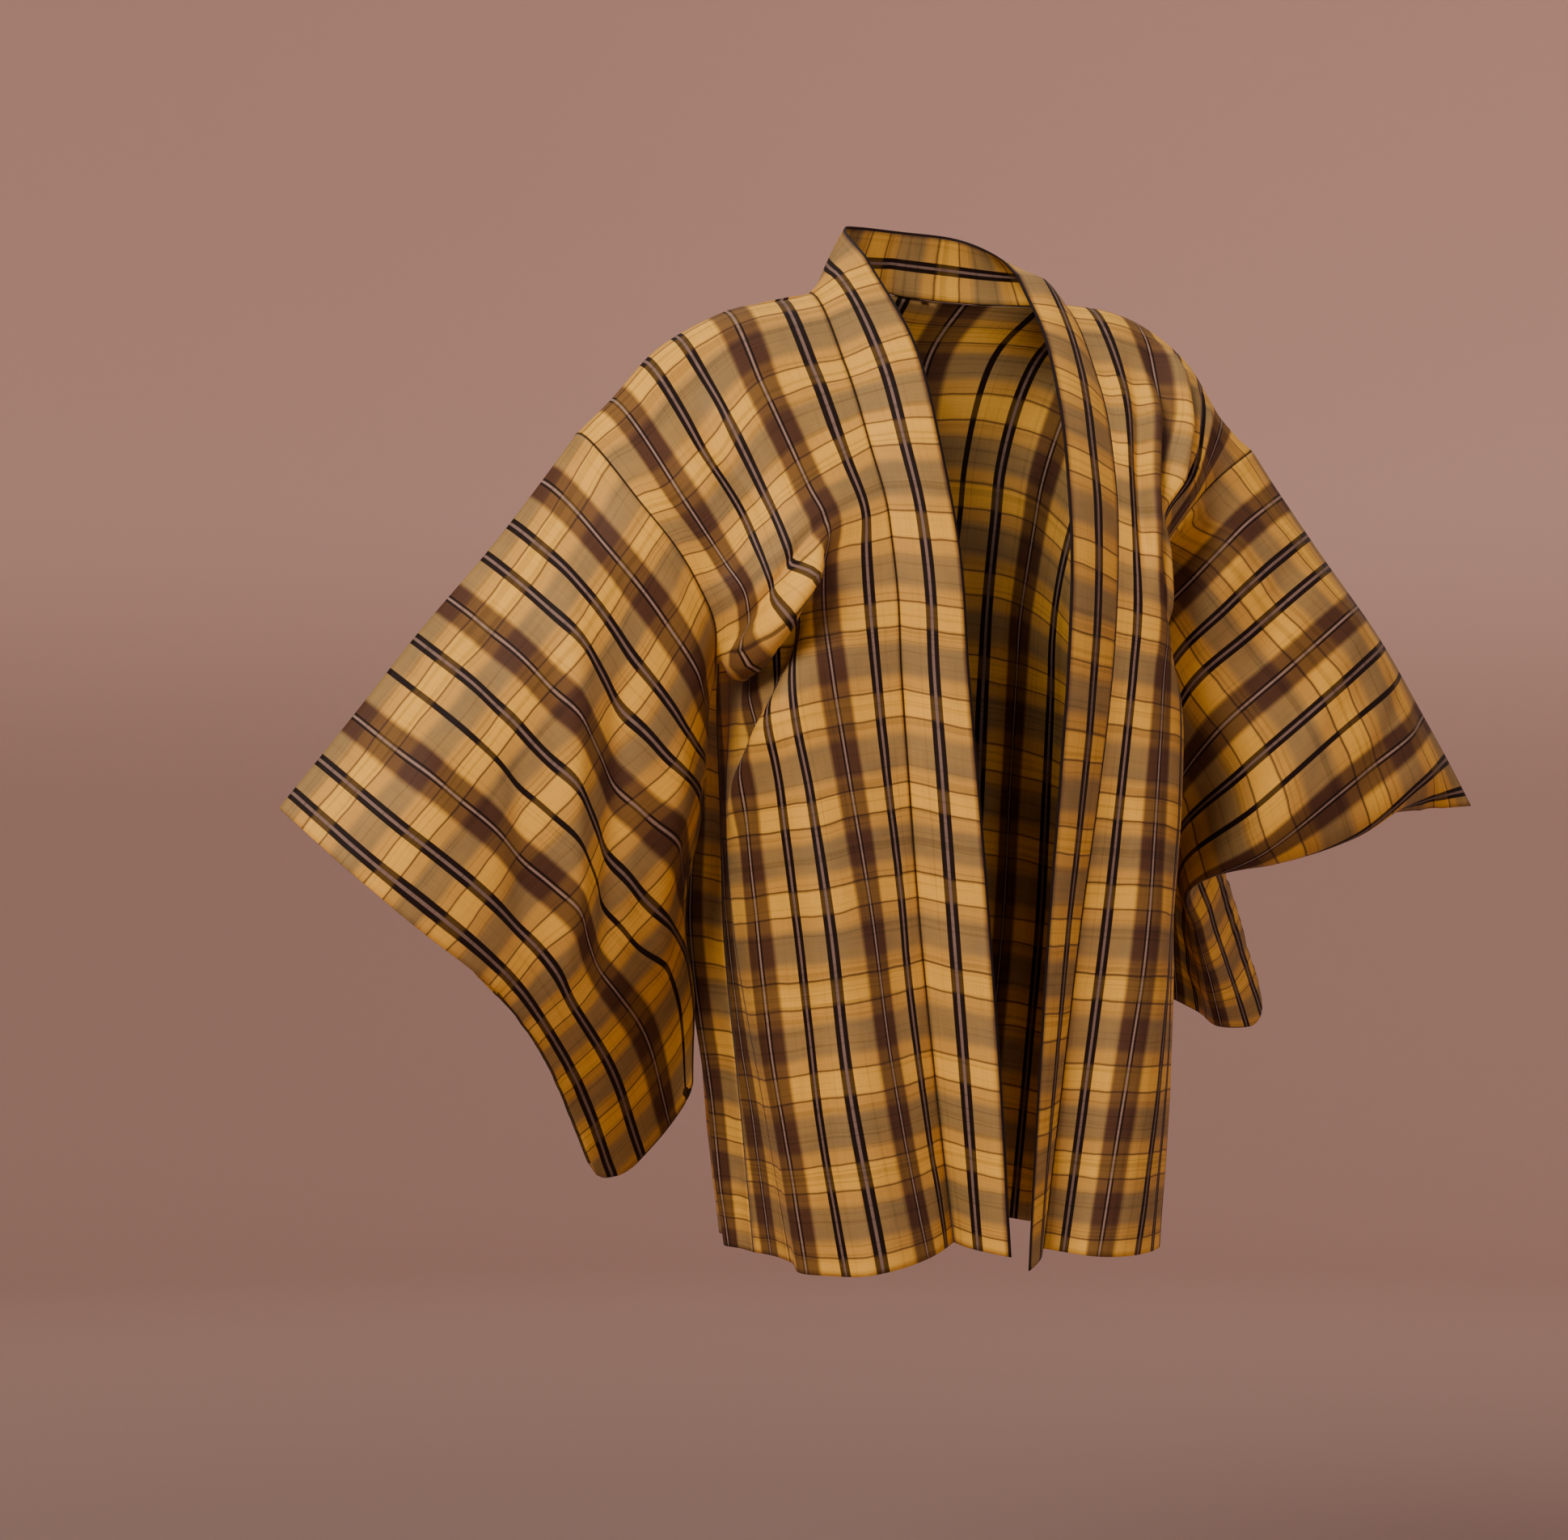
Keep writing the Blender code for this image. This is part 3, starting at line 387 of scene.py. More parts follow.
# The front layer of each sleeve, from the cuff edge to the armhole seam and, below that, its open
# inner edge.
RIGHT_SLEEVE = Net((0.0, 8.3, 15.2, 24.6, SLEEVE_WIDTH), {
    0: (
        (-53.0, -2.0, -38.1), (-47.2, -1.0, -31.8), (-42.5, -0.5, -26.4),
        (-36.0, 0.0, -19.4), (-29.8, 0.0, -11.7),
    ),
    8: (
        (-49.1, -5.5, -42.5), (-43.4, -5.5, -36.0), (-38.8, -5.5, -30.7),
        (-32.8, -5.5, -24.1), (-27.2, -5.0, -16.9),
    ),
    16: (
        (-43.8, -6.0, -46.8), (-37.9, -6.0, -40.3), (-34.1, -6.0, -35.7),
        (-28.5, -6.0, -29.5), (-23.3, -5.5, -22.0),
    ),
    23: (
        (-37.9, -3.5, -50.6), (-32.8, -4.2, -44.7), (-29.6, -4.5, -40.6),
        (-23.7, -4.2, -34.2), (-20.2, -2.6, -27.8),
    ),
    31: (
        (-32.8, 0.0, -54.9), (-28.2, -1.0, -50.0), (-24.7, -0.8, -45.5),
        (-19.2, 0.2, -37.2), (-19.8, 3.2, -34.8),
    ),
    40: (
        (-27.9, 5.0, -60.3), (-22.0, 5.0, -55.0), (-18.0, 6.0, -49.6),
        (-17.6, 8.6, -46.6), (-19.8, 9.6, -42.6),
    ),
    49: (
        (-23.2, 9.6, -67.0), (-17.2, 10.8, -62.0), (-16.3, 8.8, -58.8),
        (-17.2, 10.4, -55.4), (-19.4, 12.0, -51.6),
    ),
})
LEFT_SLEEVE = Net((0.0, 4.4, 8.3, 15.2, 24.6, SLEEVE_WIDTH), {
    0: (
        (50.4, 2.0, -38.4), (47.6, 1.5, -34.6), (44.9, 1.0, -31.2),
        (40.6, 0.5, -25.6), (34.0, 0.0, -18.4), (27.6, 0.0, -10.8),
    ),
    6: (
        (45.6, 2.6, -38.6), (42.6, -2.0, -36.4), (40.4, -3.0, -33.1),
        (36.4, -3.6, -26.8), (29.4, -3.6, -20.0), (22.8, -2.8, -13.2),
    ),
    12: (
        (39.8, 4.6, -39.4), (37.6, -0.4, -40.6), (34.9, -2.6, -36.9),
        (31.2, -3.2, -30.9), (24.6, -3.0, -23.8), (18.6, -3.0, -17.4),
    ),
    18: (
        (34.4, 7.2, -39.2), (31.8, 2.4, -42.8), (29.0, -0.2, -41.8),
        (26.4, -0.6, -35.7), (21.4, 0.4, -28.4), (17.0, -2.8, -22.8),
    ),
    24: (
        (30.6, 9.2, -39.4), (27.8, 6.6, -42.8), (26.2, 5.6, -44.6),
        (27.6, 10.0, -40.4), (22.8, 5.8, -34.6), (18.2, -1.4, -28.4),
    ),
    32: (
        (34.0, 12.4, -44.2), (30.6, 9.8, -47.0), (28.6, 8.8, -48.2),
        (31.0, 14.6, -47.2), (25.8, 11.0, -42.2), (20.6, 2.8, -35.6),
    ),
    40: (
        (37.2, 14.6, -49.0), (33.6, 12.0, -51.4), (31.0, 10.6, -52.2),
        (33.4, 17.0, -51.0), (27.4, 14.4, -47.6), (21.4, 6.2, -42.8),
    ),
    49: (
        (41.0, 16.4, -56.0), (36.8, 13.8, -56.4), (33.2, 12.2, -56.2),
        (35.4, 18.8, -55.4), (28.8, 16.8, -52.8), (21.8, 9.4, -50.4),
    ),
})

# How far the back layer of a sleeve stands off its front layer, as (x, y, z) in cm. The layers
# part for the arm, and meet along the sewn part of the cuff edge and along the bottom.
RIGHT_SPREAD = Net((0.0, 8.3, 15.2, SLEEVE_WIDTH), {
    0: ((0.0, 0.0, 0.0),) * 4,
    8: ((3.9, 7.6, 0.4), (1.6, 8.9, 0.2), (0.2, 10.0, 0.0), (-0.1, 9.8, -0.3)),
    16: ((2.6, 5.4, 0.5), (0.8, 7.6, 0.4), (-0.5, 9.0, 0.3), (-0.3, 10.7, -0.6)),
    23: ((0.0, 0.6, 0.0), (-0.4, 3.4, 0.3), (-0.8, 6.5, 0.5), (0.4, 3.1, -0.1)),
    31: ((-0.2, 0.4, 0.0), (0.0, 1.7, 0.3), (0.0, 3.0, 0.5), (-0.8, 1.4, 0.2)),
    40: ((-0.2, 0.3, -0.1), (0.0, 0.9, 0.1), (-0.4, 1.2, 0.2), (-0.6, -0.6, 0.0)),
    49: ((-0.2, 0.3, -0.1), (-0.2, 0.3, -0.1), (-0.5, 0.3, -0.1), (-0.4, -0.4, -0.1)),
})
LEFT_SPREAD = Net((0.0, 8.3, 11.8, 15.2, 24.6, SLEEVE_WIDTH), {
    0: ((0.0, 0.0, 0.0),) * 6,
    8: (
        (0.9, 3.4, 4.8), (1.0, 6.3, 2.5), (1.0, 7.5, 1.5),
        (1.0, 8.4, 0.6), (1.0, 7.8, 0.4), (0.4, 8.7, -0.2),
    ),
    16: (
        (0.9, 2.6, 4.8), (1.3, 6.0, 2.6), (1.4, 7.4, 1.5),
        (1.6, 8.6, 0.6), (1.8, 6.8, 0.5), (0.8, 10.2, -0.4),
    ),
    23: (
        (0.2, 0.5, 0.1), (1.6, 3.6, 0.4), (2.2, 3.8, 0.5),
        (2.4, 5.4, 0.6), (2.1, 4.8, 0.5), (0.2, 3.5, -0.2),
    ),
    32: (
        (-0.1, 0.5, 0.1), (1.2, 1.4, 0.2), (1.5, 0.6, 0.3),
        (1.6, 2.0, 0.4), (-0.4, 2.4, 0.5), (-0.6, 1.6, 0.4),
    ),
    40: (
        (-0.1, 0.5, 0.1), (1.0, 1.1, 0.2), (1.2, 0.2, 0.2),
        (1.4, 1.8, 0.3), (-0.6, 1.8, 0.6), (-0.8, 1.4, 0.4),
    ),
    49: (
        (0.0, 0.5, -0.1), (0.7, 0.7, 0.0), (0.7, 0.0, 0.0),
        (1.1, 1.2, 0.0), (-0.4, 1.0, 0.2), (-0.6, 0.7, 0.1),
    ),
})

# The collar's folded edge down each front and round the neck.
RIGHT_COLLAR = (
    CollarRow(75, (-0.9, -11.4, -70.4), 0.3),
    CollarRow(62, (-1.9, -11.8, -58.2), 0.3),
    CollarRow(50, (-3.0, -12.0, -46.4), 0.3),
    CollarRow(40, (-4.0, -12.2, -36.9), 0.3),
    CollarRow(32, (-4.7, -12.0, -28.8), 0.3),
    CollarRow(23, (-5.1, -11.4, -19.9), 0.3),
    CollarRow(16, (-5.6, -9.6, -12.4), 0.3),
    CollarRow(8, (-5.5, -5.6, -4.6), 0.3),
    CollarRow(0, (-6.8, -0.6, 2.2), 0.3),
)
RIGHT_NECK = (CollarRow(35, (-6.4, 3.2, 4.6), 0.3), CollarRow(65, (-3.9, 5.6, 5.2), 0.3))
CENTRE_NECK = CollarRow(90, (0.0, 6.4, 5.2), 0.3)
LEFT_NECK = (CollarRow(65, (3.9, 5.2, 4.8), 0.3), CollarRow(35, (6.0, 2.6, 3.4), 0.6))
LEFT_COLLAR = (
    CollarRow(0, (5.7, -1.2, 1.4), 0.9),
    CollarRow(8, (5.6, -5.6, -4.2), 0.5),
    CollarRow(16, (4.6, -9.6, -11.2), 0.3),
    CollarRow(23, (4.2, -11.2, -18.2), 0.3),
    CollarRow(32, (3.4, -12.2, -27.4), 0.3),
    CollarRow(40, (2.8, -12.0, -36.2), 0.3),
    CollarRow(50, (2.2, -11.5, -46.3), 0.3),
    CollarRow(62, (1.6, -11.0, -58.8), 0.3),
    CollarRow(75, (1.2, -10.5, -71.6), 0.3),
)

# Folds, puckers and creases of each sheet: the large ones of the pose first, then smaller ones.
RIGHT_FRONT_FOLDS = (
    Fold(17.5, 18.9, 34.0, 22.0, 0.65, 0.55, 0.3),
    Fold(18.5, 20.8, 36.0, 25.0, 1.05, -1.9, 0.25),
    Fold(20.5, 26.0, 36.0, 39.5, 1.25, 0.8, 0.3),
    Fold(24.0, 31.5, 36.0, 44.0, 1.6, -0.6),
    Fold(26.5, 34.0, 27.6, 84.0, 2.2, 0.4),
    Fold(21.8, 36.0, 22.2, 84.0, 2.3, -0.3),
    Fold(17.2, 42.0, 17.6, 84.0, 2.0, 0.28),
    Fold(30.8, 42.0, 31.0, 86.0, 1.9, -0.35),
    Fold(24.4, 3.0, 20.6, 15.0, 0.9, -0.45),
    Fold(26.0, 5.0, 23.2, 17.5, 1.0, 0.4),
    Fold(28.4, 4.0, 26.4, 18.0, 1.1, -0.36),
    Fold(31.4, 5.0, 29.6, 19.0, 1.2, 0.3),
    Fold(18.0, 5.0, 16.0, 16.0, 1.2, 0.25),
    Fold(14.2, 8.0, 14.0, 34.0, 0.8, 0.12),
)
LEFT_FRONT_FOLDS = (
    Fold(14.8, 3.0, 14.4, 19.0, 0.75, -0.6),
    Fold(16.4, 4.0, 16.2, 27.0, 0.8, 0.7),
    Fold(18.2, 3.0, 17.6, 26.0, 0.85, -0.85),
    Fold(20.2, 6.0, 19.6, 28.0, 0.85, 0.55),
    Fold(20.6, 1.5, 22.0, 17.0, 1.0, -1.6, 0.25),
    Fold(18.6, 2.5, 19.2, 15.0, 0.8, 0.5, 0.3),
    Fold(24.6, 1.5, 24.0, 14.0, 0.8, -1.0, 0.3),
    Fold(27.4, 1.5, 26.0, 13.0, 0.8, -0.9, 0.3),
    Fold(22.3, 16.0, 21.6, 28.0, 0.9, -0.4),
    Fold(24.6, 7.0, 24.0, 26.0, 0.95, 0.35),
    Fold(15.6, 30.0, 17.2, 84.0, 2.0, 0.3),
    Fold(20.0, 34.0, 21.0, 84.0, 2.2, -0.3),
    Fold(25.4, 32.0, 26.0, 84.0, 2.2, 0.3),
    Fold(30.0, 36.0, 30.4, 86.0, 2.0, -0.3),
    Fold(17.0, 24.0, 28.0, 31.0, 1.2, 0.3),
)
RIGHT_BACK_FOLDS = (
    Fold(6.4, 14.0, 5.6, 90.0, 2.0, 1.1, 0.4),
    Fold(11.2, 12.0, 10.0, 90.0, 2.1, -1.2, 0.4),
    Fold(15.6, 9.0, 14.6, 90.0, 2.2, 1.4, 0.4),
    Fold(20.4, 12.0, 19.4, 90.0, 2.1, -1.2, 0.4),
    Fold(25.0, 16.0, 24.4, 90.0, 2.0, 1.1, 0.4),
    Fold(29.2, 24.0, 28.8, 92.0, 1.8, -0.7, 0.4),
    Fold(8.6, 6.0, 7.6, 34.0, 1.1, 0.2),
    Fold(18.2, 4.0, 16.4, 26.0, 1.2, -0.24),
    Fold(27.4, 5.0, 24.0, 22.0, 1.2, 0.3),
    Fold(30.6, 8.0, 27.4, 24.0, 1.1, -0.28),
    Fold(12.6, 44.0, 12.4, 90.0, 0.9, 0.2),
    Fold(22.6, 48.0, 22.2, 90.0, 0.9, 0.18),
)
LEFT_BACK_FOLDS = (
    Fold(7.0, 18.0, 6.4, 90.0, 2.1, 0.9, 0.4),
    Fold(12.0, 10.0, 11.2, 90.0, 2.2, -1.2, 0.4),
    Fold(16.8, 9.0, 16.4, 90.0, 2.1, 1.3, 0.4),
    Fold(21.4, 14.0, 21.0, 90.0, 2.1, -1.0, 0.4),
    Fold(26.0, 18.0, 25.8, 90.0, 2.1, 0.9, 0.4),
    Fold(9.4, 5.0, 9.0, 32.0, 1.1, 0.2),
    Fold(19.2, 5.0, 17.6, 24.0, 1.2, 0.22),
    Fold(27.8, 4.0, 24.6, 22.0, 1.2, -0.3),
    Fold(31.0, 7.0, 28.4, 24.0, 1.1, 0.28),
    Fold(14.2, 42.0, 14.0, 90.0, 0.9, -0.2),
)
RIGHT_SLEEVE_FOLDS = (
    Fold(26.0, 7.5, 2.0, 30.0, 1.6, 0.85, 0.3),
    Fold(27.0, 12.5, 6.0, 33.0, 1.5, -0.85, 0.3),
    Fold(16.0, 10.0, 2.0, 24.5, 1.5, -0.6),
    Fold(26.0, 20.0, 9.0, 40.0, 1.9, 0.8, 0.3),
    Fold(30.0, 26.0, 14.0, 44.0, 2.0, -0.7, 0.3),
    Fold(31.5, 2.0, 27.0, 16.0, 1.3, -0.22),
    Fold(27.5, 3.0, 20.0, 14.0, 1.2, 0.22),
    Fold(20.0, 2.0, 12.5, 12.0, 1.2, -0.2),
    Fold(12.0, 2.5, 5.0, 13.0, 1.2, 0.2),
    Fold(3.0, 8.0, 1.0, 22.0, 1.1, 0.2),
    Fold(33.0, 10.0, 29.0, 26.0, 1.2, 0.25),
)
RIGHT_SLEEVE_BACK_FOLDS = (
    Fold(27.0, 6.0, 6.0, 30.0, 2.2, 0.55, 0.3),
    Fold(31.0, 13.0, 12.0, 38.0, 2.2, -0.6, 0.3),
    Fold(16.0, 6.0, 3.0, 24.0, 1.8, -0.35),
    Fold(31.0, 26.0, 17.0, 46.0, 2.0, 0.45, 0.3),
    Fold(24.0, 3.0, 17.0, 14.0, 1.3, 0.22),
)
LEFT_SLEEVE_FOLDS = (
    Fold(32.4, 6.0, 32.0, 26.0, 1.4, -2.6, 0.25),
    Fold(32.5, 9.0, 27.0, 25.0, 1.8, -2.2, 0.25),
    Fold(32.0, 4.0, 22.5, 19.0, 1.4, 0.5),
    Fold(27.0, 3.0, 17.5, 18.0, 1.4, -0.5),
    Fold(20.0, 3.0, 11.0, 17.0, 1.4, 0.42),
    Fold(13.0, 2.0, 6.0, 13.0, 1.2, -0.35),
    Fold(26.0, 20.0, 12.0, 34.0, 1.9, -0.3, 0.3),
    Fold(30.0, 30.0, 10.0, 46.0, 2.0, 0.3, 0.3),
    Fold(7.0, 26.0, 5.0, 48.0, 1.2, 0.2),
)
LEFT_SLEEVE_BACK_FOLDS = (
    Fold(30.0, 5.0, 12.0, 24.0, 2.0, 0.4, 0.3),
    Fold(22.0, 4.0, 7.0, 20.0, 1.8, -0.3),
    Fold(30.0, 22.0, 14.0, 44.0, 2.0, -0.35, 0.3),
)


def slopes(knots: np.ndarray, values: np.ndarray, steady: bool) -> np.ndarray:
    """The slope at each knot: the mean of its neighbours' slopes or, for a steady curve, one that
    never passes a knot's value.

    Args:
        knots: rising positions.
        values: one value, or array of values, for each knot.
        steady: whether the curve never passes a knot's value.

    Returns:
        The slopes, in the shape of `values`.
    """
    gaps = np.diff(knots).reshape((-1,) + (1,) * (values.ndim - 1))
    chords = np.diff(values, axis=0) / gaps
    before, after = chords[:-1], chords[1:]
    left, right = gaps[:-1], gaps[1:]
    mean = (before * right + after * left) / (left + right)
    if steady:
        same = before * after > 0
        total = np.where(same, before + after, 1.0)
        mean = np.where(same, 2 * before * after / total, 0.0)
    return np.concatenate([chords[:1], mean, chords[-1:]])


def curve(knots: Numbers, values: Numbers, at: Numbers, steady: bool = False) -> np.ndarray:
    """Reads cubic pieces through `values` at `knots`.

    Args:
        knots: rising positions.
        values: one value, or array of values, for each knot.
        at: the positions to read.
        steady: whether the curve never passes a knot's value.

    Returns:
        The values at `at`, along the first axis.
    """
    knots, values, at = (np.asarray(part, float) for part in (knots, values, at))
    slope = slopes(knots, values, steady)
    index = np.clip(np.searchsorted(knots, at, side="right") - 1, 0, len(knots) - 2)
    shape = (-1,) + (1,) * (values.ndim - 1)
    step = (knots[index + 1] - knots[index]).reshape(shape)
    part = (at - knots[index]).reshape(shape) / step
    start, end = values[index], values[index + 1]
    bend = 3 * part**2 - 2 * part**3
    lift = (part**3 - 2 * part**2 + part) * slope[index] + (part**3 - part**2) * slope[index + 1]
    return start + (end - start) * bend + lift * step


def smooth_step(value: np.ndarray) -> np.ndarray:
    """Eases from 0 to 1 as value goes from 0 to 1."""
    value = np.clip(value, 0.0, 1.0)
    return value * value * (3 - 2 * value)


def unit(vectors: np.ndarray) -> np.ndarray:
    """The vectors with length 1."""
    return vectors / np.maximum(np.linalg.norm(vectors, axis=-1, keepdims=True), 1e-9)


def normals(points: np.ndarray) -> np.ndarray:
    """Unit normals of a grid of points, from the grid's two directions."""
    return unit(np.cross(np.gradient(points, axis=0), np.gradient(points, axis=1)))


def fold_height(folds: tuple[Fold, ...], thread: np.ndarray, down: np.ndarray) -> np.ndarray:
    """How far folds lift the cloth: for each, a bell across its line, eased in and out along it.

    Args:
        folds: the sheet's folds.
        thread: the points' cm from the selvage.
        down: the points' cm from the shoulder fold, never negative.

    Returns:
        Heights in cm, outwards.
    """
    height = np.zeros(np.broadcast(thread, down).shape)
    for fold in folds:
        run, drop = fold.to_thread - fold.thread, fold.to_down - fold.down
        length = math.hypot(run, drop)
        along = ((thread - fold.thread) * run + (down - fold.down) * drop) / length**2
        off = ((thread - fold.thread) * drop - (down - fold.down) * run) / length
        ease = smooth_step(along / fold.fade) * smooth_step((1 - along) / fold.fade)
        height = height + fold.depth * ease * np.exp(-((off / fold.width) ** 2))
    return height


def soft_noise(x: np.ndarray, y: np.ndarray, seed: int) -> np.ndarray:
    """Smooth noise from -1 to 1: a fixed lattice of values, eased from one to the next.

    Args:
        x: the points' places across the lattice.
        y: their places along it.
        seed: which lattice is read.

    Returns:
        A value for each point.
    """
    lattice = np.random.default_rng(seed).uniform(-1, 1, (LATTICE, LATTICE))
    x, y = np.broadcast_arrays(x + 20.3, y + 20.7)
    column, row = np.floor(x).astype(int), np.floor(y).astype(int)
    across, along = smooth_step(x - column), smooth_step(y - row)

    def corner(right: int, low: int) -> np.ndarray:
        """The lattice's values at one corner of every point's square."""
        return lattice[(column + right) % LATTICE, (row + low) % LATTICE]

    top = corner(0, 0) * (1 - across) + corner(1, 0) * across
    base = corner(0, 1) * (1 - across) + corner(1, 1) * across
    return top * (1 - along) + base * along


def crumple(thread: np.ndarray, down: np.ndarray, seed: int) -> np.ndarray:
    """The silk's slight unevenness: long shallow waves that lean with the thread, and finer ones
    between them.

    Args:
        thread: the points' cm across the cloth.
        down: their cm along it.
        seed: where the noise starts.

    Returns:
        Heights in cm.
    """
    wide = soft_noise(thread / 5.5 + down / 21.0, down / 9.0, seed)
    middle = soft_noise(thread / 2.4 - down / 17.0, down / 4.4, seed + 1)
    fine = soft_noise(thread / 1.1, down / 1.7, seed + 2)
    return 0.11 * wide + 0.045 * middle + 0.012 * fine


def pucker(distance: np.ndarray, along: np.ndarray, seed: int) -> np.ndarray:
    """The ripple that a line of stitches draws into the cloth beside it.

    Args:
        distance: the points' cm from the stitches.
        along: their cm along the line.
        seed: where the noise starts.

    Returns:
        Heights in cm.
    """
    wave = soft_noise(along / 1.3, distance / 9.0, seed)
    wave += 0.6 * soft_noise(along / 0.6, distance / 9.0, seed + 1)
    return 0.05 * wave * np.exp(-distance / 1.3)


def inwards(sheet: np.ndarray) -> np.ndarray:
    """The way into a sheet from its first column, square to that edge.

    Args:
        sheet: points as an array (rows, columns, 3).

    Returns:
        A unit direction for each row.
    """
    along = unit(np.gradient(sheet[:, 0], axis=0))
    into = sheet[:, INNER] - sheet[:, 0]
    return unit(into - (into * along).sum(axis=-1, keepdims=True) * along)


def setback(into: np.ndarray, other: np.ndarray) -> np.ndarray:
    """How far a sheet stops short of its seam: half the gap where the two sheets run on flat, and
    more where they meet at a sharp angle, so that their walls don't cross.

    Args:
        into: the way into the sheet, at each row.
        other: the way into the sheet that it is sewn to.

    Returns:
        The distance in cm, as an array (rows, 1).
    """
    cosine = np.clip((into * other).sum(axis=-1, keepdims=True), -1, SHARPEST)
    return SEAM_GAP / 2 + WALL / 2 * np.sqrt((1 + cosine) / (1 - cosine))


def pull_back(sheet: np.ndarray, into: np.ndarray, amount: np.ndarray) -> None:
    """Moves a sheet's first column into the sheet, and the next columns less and less, so that no
    face folds over. The sheet is changed in place.

    Args:
        sheet: points as an array (rows, columns, 3).
        into: the way into the sheet, at each row.
        amount: how far the first column moves, in cm, at each row.
    """
    columns = min(SEAM_COLUMNS, sheet.shape[1])
    for column in range(columns):
        sheet[:, column] += into * amount * (1 - column / columns)


@dataclass
class ClothSheet:
    """A grid of cloth: points in cm, with the cloth's own coordinates and its distance to the
    nearest seam at every point."""

    points: np.ndarray
    thread: np.ndarray
    down: np.ndarray
    seam: np.ndarray

    def lift(self, height: np.ndarray, outward: int) -> None:
        """Moves every point square to the sheet by `height` cm."""
        self.points = self.points + height[..., None] * normals(self.points) * outward


@dataclass
class ClothPiece:
    """A sewn piece as a Blender object: a sheet, thickened to both sides. A `ring` closes its last
    row to its first. `turn_row` is the row of faces, if any, that joins the two layers of a sleeve;
    its `down` stays the front layer's."""

    node: str
    slot: str
    flat: tuple[float, float]
    area: float
    sheet: ClothSheet
    ring: bool = False
    turn_row: int = -1
    hangs_from: tuple[str, ...] = ()
    object: bpy.types.Object | None = field(default=None, init=False)

    def build(self, material: bpy.types.Material) -> bpy.types.Object:
        """Makes the mesh with its cloth coordinates, dresses it and ties it to the frame.

        Args:
            material: the silk's material.

        Returns:
            The finished object.
        """
        rows, columns = self.sheet.points.shape[:2]
        index = np.arange(rows * columns).reshape(rows, columns)
        if self.ring:
            index = np.concatenate([index, index[:1]])
        faces = np.stack([index[:-1, :-1], index[:-1, 1:], index[1:, 1:], index[1:, :-1]], axis=-1)
        mesh = bpy.data.meshes.new(self.node + "_silk")
        mesh.from_pydata(
            (self.sheet.points.reshape(-1, 3) * CM).tolist(), [], faces.reshape(-1, 4).tolist()
        )
        loops = faces.reshape(-1)
        cloth = np.stack([self.sheet.thread.reshape(-1)[loops], self.sheet.down.reshape(-1)[loops]], -1)
        cloth = cloth.reshape(faces.shape + (2,))
        if self.turn_row >= 0:
            cloth[self.turn_row, ..., 2:, 1] = cloth[self.turn_row, ..., :2, 1]
        layer = mesh.uv_layers.new(name="cloth")
        layer.data.foreach_set("uv", (cloth * CM).astype(np.float32).ravel())
        seam = mesh.attributes.new("seam", "FLOAT", "POINT")
        seam.data.foreach_set("value", self.sheet.seam.astype(np.float32).ravel())
        mesh.shade_smooth()
        mesh.materials.append(material)
        piece = bpy.data.objects.new(self.node + "_silk", mesh)
        bpy.context.scene.collection.objects.link(piece)
        wall = piece.modifiers.new("wall", "SOLIDIFY")
        wall.thickness = WALL * CM
        wall.offset = 0.0
        self.object = piece
        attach(piece, "root")
        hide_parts(self.node)
        return piece

    def declare(self, pieces: dict[str, ClothPiece]) -> None:
        """Does nothing: no cut is stated for the piece."""


